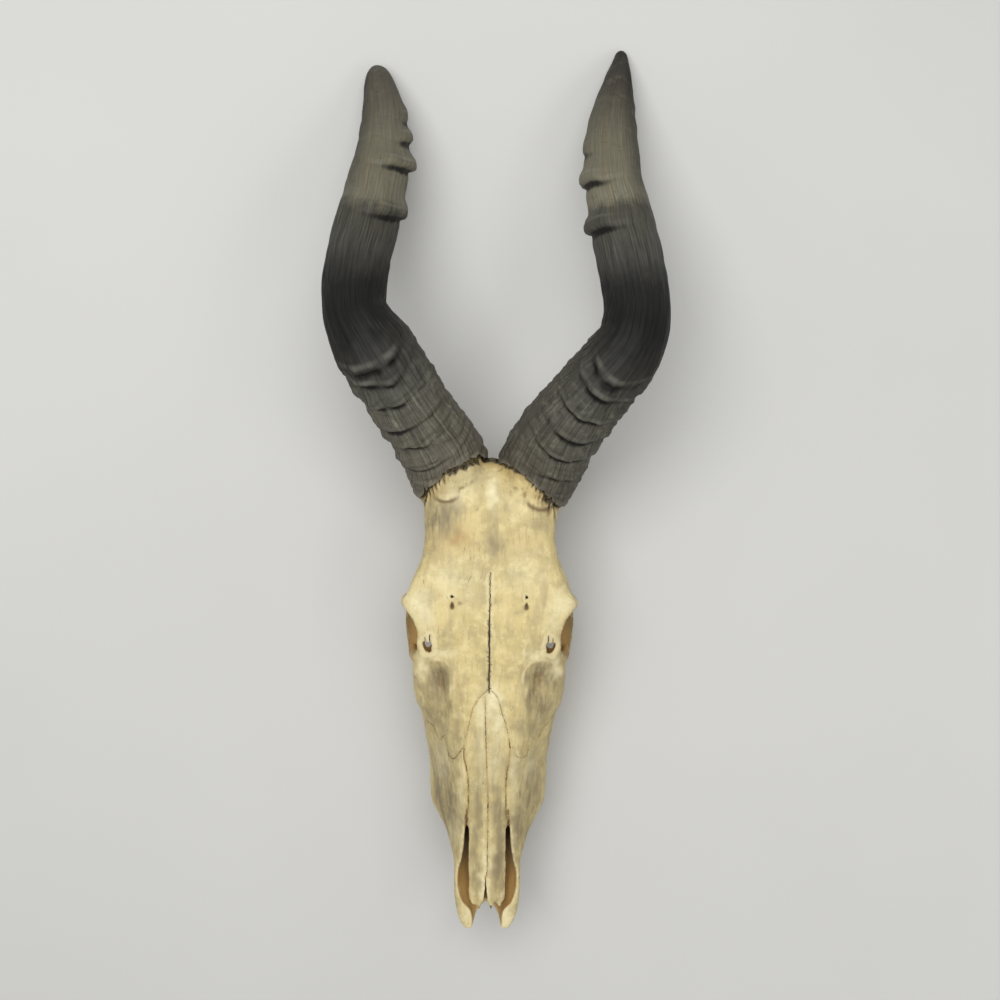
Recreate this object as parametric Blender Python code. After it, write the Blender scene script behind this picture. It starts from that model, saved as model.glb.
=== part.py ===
"""Red hartebeest skull with its horns, lying on the floor with the forehead up.

The skull is described in its own frame, in millimetres: x to the animal's left, y from the snout to the horns,
z away from the floor, with the middle plane of the head at x = 0. It rests on the last molars and on both horn
tips. At the end everything is moved so that the middle of the whole thing stands over the origin.
"""

import math
from collections import namedtuple

import bmesh
import bpy
import numpy as np

MM = 0.001

# Driving dimensions, in millimetres.
FOREHEAD_HEIGHT = 138.0
ORBIT_HALF_BREADTH = 78.5
TOOTH_ROW_LENGTH = 95.0
MOLAR_SPACING = 75.0
PREMOLAR_SPACING = 66.0
CROWN_HEIGHT = 20.0
ROOT_DEPTH = 7.0
SHEATH_WALL = 5.0
SHEATH_SOCKET_DEPTH = 66.0
CLEARANCE = 0.4
MIDDLE_X = 3.0
MIDDLE_Y = 23.0

# Fineness of the solids.
BONE_VOXEL = 1.8
BONE_TRIANGLES = 4800
HORN_SIDES = 14
HORN_ROW_SPACING = 13.0

# One cross-section of the head's long block: height of the middle line, then the brow edge, the widest point
# and the lower flank as (x, z), and the height of the underside.
Section = namedtuple("Section", "y top brow side low bottom")
HEAD = (
    Section(38.5, 113, (14, 111), (22, 106), (14, 101), 100),
    Section(32, 121, (32, 119), (50, 108), (36, 95), 92),
    Section(18, 129, (42, 128), (60, 112), (44, 90), 82),
    Section(0, 134, (46, 133), (61, 116), (45, 90), 72),
    Section(-20, 136.5, (47, 135.5), (59.5, 118), (45, 92), 66),
    Section(-40, FOREHEAD_HEIGHT, (48, 137), (59.5, 120), (44, 96), 66),
    Section(-58, FOREHEAD_HEIGHT, (50, 137), (63, 122), (41, 98), 62),
    Section(-72, FOREHEAD_HEIGHT, (55, 136.5), (68, 124.5), (39, 98), 58),
    Section(-84, FOREHEAD_HEIGHT, (60, 135.5), (74, 124.5), (38, 97), 58),
    Section(-95, 137.5, (62, 134.5), (ORBIT_HALF_BREADTH, 123), (37, 95), 58),
    Section(-106, 137, (58, 134), (70, 124), (36, 92), 58),
    Section(-124, 136, (50, 133), (61, 122), (38, 84), 56),
    Section(-139, 135, (46, 132), (67, 110), (48, 72), 52),
    Section(-155, 134, (44, 131), (69.5, 102), (57, 62), 44),
    Section(-175, 133, (42, 130), (69, 96), (56, 50), 34),
    Section(-188, 132, (40, 128), (66, 94), (55, 48), 35),
    Section(-198, 132, (38, 127), (61, 92), (54, 49), 37),
    Section(-222, 130, (33, 123), (56, 89), (51, 53), 42),
    Section(-242, 128.5, (29, 121), (52.5, 87), (48.5, 57), 47),
    Section(-277, 124.5, (25, 117), (51.3, 85), (45, 64), 56),
    Section(-291, 120.5, (23, 114), (46, 85), (38, 68), 62),
    Section(-306, 113, (24, 112), (38, 91), (31, 73), 69),
    Section(-331, 107, (25, 106.5), (31, 94), (25, 77), 75),
    Section(-352, 103, (26, 102), (30.2, 93), (23, 80), 78),
    Section(-370, 99.5, (25, 99), (29.6, 91), (22, 82), 80),
    Section(-386, 97, (22.5, 96.5), (26, 90), (20, 84.5), 83.5),
    Section(-397, 95, (18, 94), (21, 90), (17, 86.5), 85.5),
)

# The nasal passage, open to the front and, between the premaxillae, above: half width, lowest and highest
# point.
Channel = namedtuple("Channel", "y half_width low high")
NASAL_PASSAGE = (
    Channel(-412, 12, 90, 150),
    Channel(-396, 13, 90, 150),
    Channel(-380, 18, 86, 148),
    Channel(-360, 22, 83.5, 146),
    Channel(-335, 22, 80, 144),
    Channel(-308, 21.5, 75, 142),
    Channel(-290, 21, 71, 136),
    Channel(-279, 21, 66, 116),
    Channel(-242, 26, 55, 120.5),
    Channel(-196, 27, 46, 122),
    Channel(-166, 20, 41, 112),
    Channel(-152, 14, 37, 72),
    Channel(-124, 13, 31, 54),
    Channel(-92, 12, 25, 40),
)

# The two nasal bones together: half width, height of the middle line, drop of the edge and thickness.
Roof = namedtuple("Roof", "y half_width top drop thickness")
NASALS = (
    Roof(-177, 5, 133.5, 1, 5),
    Roof(-198, 15.5, 133.5, 3, 6),
    Roof(-223, 20.5, 131.7, 6, 7),
    Roof(-240, 19.3, 130, 6, 6),
    Roof(-256, 17.4, 128.5, 5.5, 5),
    Roof(-285, 17.2, 125.5, 5.5, 4.5),
    Roof(-320, 17.3, 120, 5.5, 4),
    Roof(-352, 17.3, 113.5, 5, 3.6),
    Roof(-367, 16.5, 110, 4.5, 3.4),
)
# The points in which the nasal bones end: x and y.
NASAL_POINTS = ((-11, -374), (-7, -371), (3.5, -376), (7.5, -378))

# Rods of bone: points (x, y, z, half width, half height), mirrored to the other side where x isn't 0.
ZYGOMATIC_ARCH = (
    (40, -36, 52, 9, 7),
    (53, -48, 55, 7, 6.5),
    (63, -63, 60, 4.5, 7),
    (70, -79, 66, 4, 8),
    (73.5, -96, 71, 4.5, 8.5),
    (72, -116, 74, 6.5, 8.5),
    (69.5, -132, 79, 7, 9),
    (65, -146, 86, 7.5, 11),
    (58, -158, 88, 8, 11),
)
ORBIT_FLOOR = (
    (72, -100, 76, 5, 3.5),
    (66, -116, 77, 10, 3.5),
    (62, -132, 80, 13, 4.5),
    (58, -146, 84, 14, 8),
)
POSTORBITAL_BAR = (
    (70, -92, 124, 6, 6),
    (76, -93, 116, 4.5, 5.5),
    (77.5, -93, 104, 3.8, 5.5),
    (76.5, -93, 90, 3.8, 6),
    (74, -92, 74, 4, 7),
)
LACRIMAL_RIM = (
    (56, -138, 120, 6, 7),
    (64, -143, 110, 5.5, 6),
    (69, -143, 98, 4.5, 6),
    (71, -139, 86, 4, 7),
)
SUPRAORBITAL_RIM = (
    (75, -95, 124, 3.5, 4),
    (70, -102, 126, 3.2, 4),
    (65, -111, 127, 3.2, 4),
    (60.5, -122, 126, 3.4, 4),
    (58, -133, 122, 4, 5),
)
BASE_OF_SKULL = (
    (0, 2, 26, 15, 9),
    (0, -24, 27, 14, 8),
    (0, -50, 31, 11, 8),
    (0, -80, 40, 10, 9),
    (0, -112, 52, 10, 11),
    (0, -147, 62, 11, 14),
)
NUCHAL_CREST = (
    (0, 2, 74, 5, 5),
    (16, 0, 72, 5, 5),
    (30, -6, 62, 5, 5),
    (40, -17, 49, 5, 5),
    (45, -34, 45, 5, 5),
)
NECK_PROCESS = (
    (34, -12, 46, 7, 8),
    (34, -10, 30, 5, 7),
    (32, -9, 17, 3.5, 6),
    (30, -9, 9, 2.5, 4),
)
EAR_TUBE = (
    (30, -38, 40, 6, 6),
    (41, -34, 44, 5.5, 5.5),
    (49, -30, 46, 4.5, 4.5),
)
PTERYGOID_PLATE = (
    (19, -163, 48, 4, 16),
    (17, -147, 43, 2.8, 15),
    (15.5, -126, 39, 2.4, 14),
    (14, -104, 36, 2.2, 12),
    (13, -82, 35, 2.2, 9),
)
PAIRED_RODS = (ZYGOMATIC_ARCH, NUCHAL_CREST, NECK_PROCESS, EAR_TUBE, PTERYGOID_PLATE)
RIM_RODS = (POSTORBITAL_BAR, LACRIMAL_RIM, SUPRAORBITAL_RIM, ORBIT_FLOOR)

# Rounded masses of bone: centre and radii.
Mass = namedtuple("Mass", "center radii")
BRAINCASE = Mass((0, -32, 68), (43, 52, 38))
OCCIPUT = Mass((0, -8, 48), (37, 15, 28))
CONDYLE = Mass((14, 3, 21), (9.5, 12, 11))
BULLA = Mass((22, -42, 28), (8.5, 15, 12))
JAW_JOINT = Mass((47, -48, 53), (14, 12, 6))
CHEEK_TUBERCLE = Mass((61, -153, 106), (8, 15, 12))
MAXILLA_END = Mass((40, -165, 46), (13, 12, 24))
PAIRED_MASSES = (CONDYLE, BULLA, JAW_JOINT, CHEEK_TUBERCLE, MAXILLA_END)

# The bar of bone over each tooth row.
RIDGE_HALF_WIDTH = 11.0
RIDGE_NARROWING = 3.5
RIDGE_HEIGHT = 26.0
RIDGE_BULGE = 4.0
RIDGE_END = 8.0

# Hollows cut from the bone. The spinal opening and the notch between the premaxillae lie in the middle plane.
SPINAL_OPENING = Mass((0, 14, 33), (11, 26, 10))
FRONT_NOTCH = Mass((0, -405, 90), (14, 25, 16))
ORBIT = Mass((70, -118, 99), (31, 23, 22))
TEAR_PIT = Mass((47, -157, 132), (11, 14, 13))
TEAR_GROOVE = Mass((46, -182, 133), (11.5, 38, 11))
PALATE_SLIT = Mass((9, -340, 76), (4.5, 26, 20))
PAIRED_HOLLOWS = (ORBIT, TEAR_PIT, TEAR_GROOVE, PALATE_SLIT)
BROW_PIT = Mass((33, -96, 140), (3.6, 5, 5))
RIM_SLOT = Mass((57, -131, 122), (2.4, 8.5, 16))

# Centre line of each horn from base to tip: x, y, z and half width as seen from above.
RIGHT_HORN = (
    (-36, 20, 104, 37.5),
    (-45, 44, 123, 37.5),
    (-59, 66, 141, 35),
    (-71, 84, 154, 34.5),
    (-82, 101, 164, 34.5),
    (-92.5, 117, 172, 35),
    (-102, 131, 176, 34.5),
    (-112, 146.5, 176, 31.2),
    (-119.5, 161, 171, 28.6),
    (-122.5, 177, 162.5, 29),
    (-122.5, 195, 152, 29.5),
    (-121, 214, 140, 29.5),
    (-118, 234, 127, 29.5),
    (-114.5, 254, 114, 29.5),
    (-111.5, 271, 103, 29),
    (-109.5, 287, 92.5, 28.5),
    (-107.5, 303, 82, 27.5),
    (-105.5, 318, 72, 26.5),
    (-104.5, 333, 62, 25),
    (-105, 349, 52, 23.5),
    (-106, 366, 42, 21.5),
    (-109, 386, 29.5, 18.5),
    (-113, 407, 17, 13.5),
    (-114.5, 417, 8.2, 9),
    (-113.5, 423, 3.73, 5),
)
LEFT_HORN = (
    (38, 15, 103, 37),
    (45, 31, 115, 38.5),
    (55, 51, 131, 37),
    (67, 69, 146, 35.5),
    (81, 87, 158, 34),
    (96, 105, 169, 33),
    (112, 123, 176, 32),
    (122.5, 140, 177, 30.5),
    (127.5, 160, 170.5, 30),
    (128, 178, 161, 30),
    (126, 200, 148, 30.5),
    (122.5, 223, 134, 30.5),
    (118.5, 244, 121.5, 30),
    (115.5, 265, 109, 29),
    (112.5, 284, 97.5, 28),
    (111, 300, 88, 27),
    (110.5, 315, 79.5, 26.5),
    (110.5, 330, 71, 25.5),
    (111, 346, 61.5, 24),
    (112.5, 364, 51, 21.5),
    (115.5, 385, 38.5, 18),
    (119.5, 408, 25, 13),
    (122.5, 428, 11, 8),
    (123.5, 441, 3.52, 4.5),
)
HORN_DEPTH_RATIO = 0.92

# Growth rings: distance of the crest from the base along the front of the horn, height, the side that it faces
# as an angle round the horn (0 is the animal's left, 90 the front), how far round it reaches, and how much
# further up the horn it lies at the side than in front.
Ring = namedtuple("Ring", "at height facing reach slant")
RIGHT_RINGS = (
    Ring(46, 1.8, 110, 130, 0),
    Ring(67, 2.6, 110, 130, 0),
    Ring(89, 2.8, 100, 130, 0),
    Ring(107, 3.0, 105, 130, 2),
    Ring(124, 3.4, 100, 120, 8),
    Ring(142, 3.2, 95, 110, 10),
    Ring(291, 6.2, 20, 125, 21),
    Ring(350, 7.2, 15, 120, 18),
    Ring(381, 3.8, 10, 75, 18),
    Ring(408, 2.2, 5, 65, 16),
)
LEFT_RINGS = (
    Ring(40, 2.0, 70, 130, 0),
    Ring(64, 2.8, 65, 130, 0),
    Ring(83, 3.0, 60, 130, 4),
    Ring(104, 3.2, 60, 125, 8),
    Ring(124, 3.2, 65, 120, 6),
    Ring(141, 3.0, 65, 110, 8),
    Ring(283, 7.0, 160, 120, 15),
    Ring(342, 6.0, 165, 110, 10),
    Ring(380, 2.2, 175, 75, 10),
)
RING_SHARP_SIDE = 3.2
RING_GENTLE_SIDE = 10.0

# The sheath's rim: how far up the horn it lies at angles round the horn.
RIGHT_RIM = ((0, 8), (35, 26), (65, 32), (95, 32), (117, 22), (140, 7), (178, -6), (230, -8), (300, 0))
LEFT_RIM = ((0, -1), (20, -2), (42, 4), (60, 13), (85, 25), (110, 29), (140, 22), (178, 9), (240, 0), (310, -7))
SOCKET_TAPER = 0.2
SOCKET_ROWS = (1.0, 0.66, 0.33, 0.0)
SEAT_MARGIN = 0.9
SEAT_FLOOR = 3.0
SEAT_DEPTH = 76.0
CORE_ROOT = 12.0
CORE_ROOT_INSET = 5.0
CORE_TIP_GAP = 2.0

# The collar of bone under the rim: where it starts and ends along the horn, and how far inside the horn's
# surface it lies at shares of its length.
COLLAR_START = -26.0
COLLAR_TOP = 6.0
COLLAR_PROFILE = ((0.0, 14.0), (0.3, 7.0), (0.6, 3.5), (1.0, 2.5))

# Upper cheek teeth from the back of the row to the front: name, length along the row and width across.
Tooth = namedtuple("Tooth", "name length width")
TEETH = (
    Tooth("m3", 22.0, 14.5),
    Tooth("m2", 21.5, 16.0),
    Tooth("m1", 18.0, 16.0),
    Tooth("p4", 12.0, 14.0),
    Tooth("p3", 11.0, 12.0),
    Tooth("p2", 8.5, 10.0),
)
TOOTH_GAP = 1.0
ROW_BACK_Y = -168.0
ROW_SLOPE = math.radians(15.0)
CROWN_TAPER = 0.9
# Outline of a tooth seen from below, as shares of its half width and half length: three ribs on the cheek
# side, two lobes towards the tongue.
CHEEK_OUTLINE = ((0.9, -1), (1, -0.5), (1.05, 0), (1, 0.5), (0.9, 1))
WIDEST_RIB = 1.05
TROUGH_BELOW_GUM = 8.0
NECK_BELOW_GUM = 3.0
TONGUE_OUTLINE = ((-0.62, 1), (-1, 0.5), (-0.7, 0), (-1, -0.5), (-0.62, -1))


def clear_scene():
    for obj in list(bpy.data.objects):
        bpy.data.objects.remove(obj, do_unlink=True)


def smooth_path(points, steps):
    """A smooth curve through the rows of points, with the given number of steps between neighbours."""
    rows = np.array(points, dtype=float)
    ends = np.vstack([2 * rows[0] - rows[1], rows, 2 * rows[-1] - rows[-2]])
    out = []
    for before, start, end, after in zip(ends, ends[1:], ends[2:], ends[3:]):
        for t in np.arange(steps) / steps:
            linear = (end - before) * t
            square = (2 * before - 5 * start + 4 * end - after) * t**2
            cube = (3 * start - before - 3 * end + after) * t**3
            out.append(0.5 * (2 * start + linear + square + cube))
    out.append(rows[-1])
    return np.array(out)


def smooth_loop(points, count):
    """A smooth closed curve through the points, sampled at count places evenly along it."""
    rows = np.array(points, dtype=float)
    steps = 12
    around = np.vstack([rows[-1], rows, rows[0], rows[1]])
    dense = smooth_path(around, steps)[steps:-steps]
    lengths = np.linalg.norm(np.diff(dense, axis=0), axis=1)
    along = np.concatenate([[0.0], np.cumsum(lengths)])
    wanted = np.linspace(0, along[-1], count, endpoint=False)
    return np.column_stack([np.interp(wanted, along, dense[:, axis]) for axis in range(dense.shape[1])])


def mesh_object(name, vertices, faces):
    """A mesh object from points in millimetres."""
    mesh = bpy.data.meshes.new(name)
    mesh.from_pydata([tuple(float(value) * MM for value in point) for point in vertices], [], faces)
    mesh.update()
    obj = bpy.data.objects.new(name, mesh)
    bpy.context.scene.collection.objects.link(obj)
    return obj


def turn_outward(obj):
    shape = bmesh.new()
    shape.from_mesh(obj.data)
    bmesh.ops.recalc_face_normals(shape, faces=shape.faces)
    if shape.calc_volume(signed=True) < 0:
        bmesh.ops.reverse_faces(shape, faces=shape.faces)
    shape.to_mesh(obj.data)
    shape.free()
    return obj


def loft(name, rings):
    """A closed solid through rings that all have the same number of points, capped at both ends."""
    count = len(rings[0])
    faces = []
    for ring in range(len(rings) - 1):
        for point in range(count):
            here = ring * count + point
            beside = ring * count + (point + 1) % count
            faces.append((here, beside, beside + count))
            faces.append((here, beside + count, here + count))
    last = (len(rings) - 1) * count
    first_cap = last + count
    last_cap = first_cap + 1
    for point in range(count):
        beside = (point + 1) % count
        faces.append((beside, point, first_cap))
        faces.append((last + point, last + beside, last_cap))
    vertices = np.vstack([*rings, np.mean(rings[0], axis=0), np.mean(rings[-1], axis=0)])
    return turn_outward(mesh_object(name, vertices, faces))


def mirrored(points, side):
    return [(side * point[0], *point[1:]) for point in points]


def rod(name, points, sides=14, steps=4):
    """A rod of bone with an oval section, its half width along x and its half height across it."""
    path = smooth_path(points, steps)
    tangents = np.gradient(path[:, :3], axis=0)
    rings = []
    for row, tangent in zip(path, tangents):
        tangent = tangent / np.linalg.norm(tangent)
        sideways = np.array([1.0, 0.0, 0.0]) - tangent * tangent[0]
        sideways /= np.linalg.norm(sideways)
        upright = np.cross(sideways, tangent)
        ring = []
        for angle in np.linspace(0, 2 * math.pi, sides, endpoint=False):
            across = row[3] * math.cos(angle) * sideways
            up = row[4] * math.sin(angle) * upright
            ring.append(row[:3] + across + up)
        rings.append(ring)
    return loft(name, rings)


def ellipsoid(name, mass, side=1, detail=3):
    bpy.ops.mesh.primitive_ico_sphere_add(subdivisions=detail, radius=1)
    obj = bpy.context.object
    obj.name = name
    for vertex in obj.data.vertices:
        for axis in range(3):
            middle = mass.center[axis] * (side if axis == 0 else 1)
            vertex.co[axis] = (middle + vertex.co[axis] * mass.radii[axis]) * MM
    return obj


def apply_modifiers(obj):
    depsgraph = bpy.context.evaluated_depsgraph_get()
    mesh = bpy.data.meshes.new_from_object(obj.evaluated_get(depsgraph))
    obj.modifiers.clear()
    old = obj.data
    obj.data = mesh
    bpy.data.meshes.remove(old)


def join(name, objects):
    """One object from several. Their shells may still pass through each other."""
    vertices = []
    faces = []
    for obj in objects:
        start = len(vertices)
        vertices.extend(tuple(vertex.co / MM) for vertex in obj.data.vertices)
        faces.extend(tuple(start + index for index in face.vertices) for face in obj.data.polygons)
        bpy.data.objects.remove(obj, do_unlink=True)
    return mesh_object(name, vertices, faces)


def remesh(obj, voxel):
    """One even skin round all the shells of the object."""
    modifier = obj.modifiers.new("one skin", "REMESH")
    modifier.mode = "VOXEL"
    modifier.voxel_size = voxel * MM
    modifier.adaptivity = 0.0
    apply_modifiers(obj)


def combine(obj, other, operation):
    """Joins other to obj, or cuts it from obj, and removes other."""
    modifier = obj.modifiers.new(operation.lower(), "BOOLEAN")
    modifier.object = other
    modifier.operation = operation
    modifier.solver = "EXACT"
    apply_modifiers(obj)
    bpy.data.objects.remove(other, do_unlink=True)


def section_ring(section, count):
    """The closed outline of one cross-section of the head."""
    right = [section.brow, section.side, section.low]
    left = [(-x, z) for x, z in reversed(right)]
    outline = [(0, section.top), *right, (0, section.bottom), *left]
    return [(x, section.y, z) for x, z in smooth_loop(outline, count)]


def head_block():
    """Forehead, cheeks and snout as one solid block."""
    rows = [(s.y, s.top, *s.brow, *s.side, *s.low, s.bottom) for s in HEAD]
    rings = []
    for y, top, brow_x, brow_z, side_x, side_z, low_x, low_z, bottom in smooth_path(rows, 3):
        section = Section(y, top, (brow_x, brow_z), (side_x, side_z), (low_x, low_z), bottom)
        rings.append(section_ring(section, 40))
    return loft("head block", rings)


def nasal_passage():
    corner = 0.9
    rings = []
    for y, half_width, low, high in smooth_path(NASAL_PASSAGE, 4):
        middle = (low + high) / 2
        half_height = (high - low) / 2
        right = [
            (half_width * corner, middle + half_height * 0.9),
            (half_width, middle),
            (half_width * corner, middle - half_height * 0.9),
        ]
        left = [(-x, z) for x, z in reversed(right)]
        outline = [(0, high), *right, (0, low), *left]
        rings.append([(x, y, z) for x, z in smooth_loop(outline, 24)])
    return loft("nasal passage", rings)


def nasal_bones():
    """The arched roof of the snout."""
    rings = []
    for y, half_width, top, drop, thickness in smooth_path(NASALS, 4):
        across = np.linspace(-1, 1, 11)
        upper = [(x * half_width, y, top - drop * x * x) for x in across]
        lower = [(x * half_width * 0.97, y, top - drop * x * x - thickness) for x in reversed(across)]
        rings.append(upper + lower)
    return loft("nasal bones", rings)


def nasal_point(x, y):
    """One of the small points in which the nasal bones end."""
    root = NASALS[-1]
    path = (
        (x * 0.9, root.y + 8, root.top - 1, 5, 1.9),
        (x * 0.97, root.y, root.top - 2.5, 3.6, 1.8),
        (x, y, root.top - 4, 1.6, 1.4),
    )
    return rod("nasal point", path, sides=8, steps=2)


def chewing_height(y):
    """Height of the chewing surface: on the floor under the hind lobe of the last molar, then rising."""
    flat_end = ROW_BACK_Y - TEETH[0].length / 2
    return max(0.0, (flat_end - y) * math.tan(ROW_SLOPE))


def tooth_row_x(y):
    """Distance of the tooth row's middle from the middle plane."""
    along = (ROW_BACK_Y - y) / TOOTH_ROW_LENGTH
    molars = MOLAR_SPACING / 2
    premolars = PREMOLAR_SPACING / 2
    narrowing = max(0.0, along - 0.35) / 0.65
    return molars + (premolars - molars) * narrowing - 1.5 * (1 - along) ** 4


def alveolar_ridge(side):
    """The bar of jaw bone that holds one row of teeth."""
    rings = []
    front_y = ROW_BACK_Y - TOOTH_ROW_LENGTH - RIDGE_END
    for y in np.linspace(ROW_BACK_Y + RIDGE_END / 2, front_y, 16):
        x = tooth_row_x(y)
        foot = chewing_height(y) + CROWN_HEIGHT
        half = RIDGE_HALF_WIDTH - RIDGE_NARROWING * max(0.0, (ROW_BACK_Y - y) / TOOTH_ROW_LENGTH)
        peak = foot + RIDGE_HEIGHT
        outline = [
            (x - half, foot),
            (x + half, foot),
            (x + half + RIDGE_BULGE, (foot + peak) / 2),
            (x + half, peak),
            (x - half, peak),
        ]
        rings.append([(side * a, y, b) for a, b in smooth_loop(outline, 20)])
    return loft("alveolar ridge", rings)


def bone_masses():
    """All the shells whose union is the bone."""
    shells = [head_block(), rod("base", BASE_OF_SKULL)]
    shells += [ellipsoid("braincase", BRAINCASE), ellipsoid("occiput", OCCIPUT)]
    for side, horn in ((1, HORNS["left"]), (-1, HORNS["right"])):
        shells += [rod("bone", mirrored(path, side)) for path in PAIRED_RODS]
        shells += [ellipsoid("mass", mass, side) for mass in PAIRED_MASSES]
        shells += [alveolar_ridge(side), horn_collar(horn)]
    return shells


def bone_hollows():
    hollows = [nasal_passage(), ellipsoid("spinal opening", SPINAL_OPENING), ellipsoid("notch", FRONT_NOTCH)]
    for side in (-1, 1):
        hollows += [ellipsoid("hollow", mass, side) for mass in PAIRED_HOLLOWS]
    return hollows


def thin_bones():
    """Thin bones that go on after the hollows are cut."""
    shells = [nasal_bones()]
    shells += [nasal_point(x, y) for x, y in NASAL_POINTS]
    for side in (-1, 1):
        shells += [rod("rim", mirrored(path, side)) for path in RIM_RODS]
    return shells


def skull_bone():
    bone = join("bone", bone_masses())
    remesh(bone, BONE_VOXEL)
    hollows = join("hollows", bone_hollows())
    remesh(hollows, BONE_VOXEL)
    combine(bone, hollows, "DIFFERENCE")
    bone = join("skull", [bone, *thin_bones()])
    remesh(bone, BONE_VOXEL)
    smooth = bone.modifiers.new("soften", "SMOOTH")
    smooth.factor = 0.5
    smooth.iterations = 3
    apply_modifiers(bone)
    fewer = bone.modifiers.new("fewer faces", "DECIMATE")
    fewer.ratio = BONE_TRIANGLES / (2 * len(bone.data.polygons))
    fewer.use_collapse_triangulate = True
    apply_modifiers(bone)
    return bone


class Horn:
    """The surface of one horn, by the distance along its centre line and the angle round it in degrees."""

    def __init__(self, stations, rings, rim):
        path = smooth_path(stations, 12)
        steps = np.linalg.norm(np.diff(path[:, :3], axis=0), axis=1)
        self.along = np.concatenate([[0.0], np.cumsum(steps)])
        self.length = float(self.along[-1])
        self.centers = path[:, :3]
        self.half_widths = path[:, 3]
        tangents = np.gradient(self.centers, self.along, axis=0)
        self.tangents = tangents / np.linalg.norm(tangents, axis=1)[:, None]
        sides = np.cross(self.tangents, [0.0, 0.0, 1.0])
        self.sides = sides / np.linalg.norm(sides, axis=1)[:, None]
        self.fronts = np.cross(self.sides, self.tangents)
        self.rings = rings
        self.rim = np.array(rim, dtype=float)

    def at(self, table, distance):
        return np.array([np.interp(distance, self.along, table[:, axis]) for axis in range(3)])

    def rim_shift(self, angle):
        return float(np.interp(angle, self.rim[:, 0], self.rim[:, 1], period=360))

    def ring_shift(self, ring, angle):
        return ring.slant * (1 - math.sin(math.radians(angle)))

    def ridge(self, distance, angle):
        """How far the growth rings stand out: sharp towards the base, gentle towards the tip."""
        height = 0.0
        for ring in self.rings:
            away = distance - ring.at - self.ring_shift(ring, angle)
            width = RING_GENTLE_SIDE if away > 0 else RING_SHARP_SIDE
            turn = (angle - ring.facing + 180) % 360 - 180
            fade = 0.5 + 0.5 * math.cos(math.pi * min(1.0, abs(turn) / ring.reach))
            height += ring.height * math.exp(-((away / width) ** 2)) * fade
        return height

    def point(self, distance, angle, inset=0.0, ringed=True):
        """The point on the surface, moved in by inset. Before the base the horn goes straight on."""
        inside = max(distance, 0.0)
        center = self.at(self.centers, inside) + self.at(self.tangents, inside) * (distance - inside)
        radius = float(np.interp(inside, self.along, self.half_widths)) - inset
        if ringed:
            radius += self.ridge(distance, angle)
        turn = math.radians(angle)
        across = self.at(self.sides, inside) * math.cos(turn)
        forward = self.at(self.fronts, inside) * math.sin(turn) * HORN_DEPTH_RATIO
        return center + (across + forward) * radius

    def row(self, places, insets, ringed=False):
        """One row of points round the horn, from a distance and an inset for each angle."""
        angles = horn_angles()
        return [self.point(d, a, i, ringed) for d, a, i in zip(places, angles, insets)]

    def followed(self, distance, angle):
        """The place of a row of points: it follows the rim at the base and the rings' slant further up."""
        guides = [0.0, *(ring.at for ring in self.rings), self.length]
        shifts = [self.rim_shift(angle), *(self.ring_shift(ring, angle) for ring in self.rings), 0.0]
        return distance + float(np.interp(distance, guides, shifts))


def horn_angles():
    return np.linspace(0, 360, HORN_SIDES, endpoint=False)


def sheath_rows(horn):
    """Distances along the horn of the sheath's rows of points: close at the rings, wider between."""
    wanted = {0.0, horn.length}
    for ring in horn.rings:
        wanted |= {ring.at - 4.0, ring.at, ring.at + 7.0}
    rows = [0.0]
    for row in sorted(wanted)[1:]:
        gap = row - rows[-1]
        pieces = max(1, round(gap / HORN_ROW_SPACING))
        start = rows[-1]
        rows += [start + gap * (piece + 1) / pieces for piece in range(pieces)]
    return rows


def socket_inset(horn, distance, angle):
    """How far the socket's wall lies inside the horn's surface. The core narrows upwards."""
    return SHEATH_WALL + SOCKET_TAPER * max(0.0, distance - horn.rim_shift(angle))


def socket_row(horn, share, gap=0.0, back=0.0):
    """A row of the socket, from the rim (share 0) to its end (share 1), or of the core at a gap to it."""
    starts = [horn.rim_shift(a) for a in horn_angles()]
    places = [start + (SHEATH_SOCKET_DEPTH - start) * share - back for start in starts]
    insets = [socket_inset(horn, d, a) + gap for d, a in zip(places, horn_angles())]
    return horn.row(places, insets)


def horn_sheath(name, horn):
    """The hollow sheath: its outside from rim to tip, and the socket for the bony core."""
    outside = []
    for distance in sheath_rows(horn):
        places = [horn.followed(distance, a) for a in horn_angles()]
        outside.append(horn.row(places, [0.0] * HORN_SIDES, ringed=True))
    socket = [socket_row(horn, share) for share in SOCKET_ROWS]
    return loft(name, socket + outside)


def horn_core(horn):
    """The bony core, a little slimmer and shorter than the socket, rooted in the skull."""
    rings = [socket_row(horn, 1.0, gap=CORE_TIP_GAP, back=CORE_TIP_GAP)]
    rings += [socket_row(horn, share, gap=CLEARANCE) for share in SOCKET_ROWS[1:]]
    rings.append(socket_row(horn, 0.0, gap=CORE_ROOT_INSET, back=CORE_ROOT))
    return loft("core", rings)


def horn_seat(horn):
    """What the sheath takes up, with clearance: cut from the bone, it leaves a clean edge under the rim."""
    rings = [socket_row(horn, 0.0, gap=SEAT_FLOOR, back=SEAT_MARGIN)]
    for distance in [-SEAT_MARGIN, *(row for row in sheath_rows(horn) if 0 < row < SEAT_DEPTH)]:
        places = [horn.followed(distance, a) for a in horn_angles()]
        rings.append(horn.row(places, [-SEAT_MARGIN] * HORN_SIDES, ringed=True))
    return loft("seat", rings)


def horn_collar(horn):
    """The swelling of the frontal bone from which the horn core grows."""
    rings = []
    for share, inset in COLLAR_PROFILE:
        ends = [horn.rim_shift(a) + COLLAR_TOP for a in horn_angles()]
        places = [COLLAR_START + (end - COLLAR_START) * share for end in ends]
        rings.append(horn.row(places, [inset] * HORN_SIDES))
    return loft("collar", rings)


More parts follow.
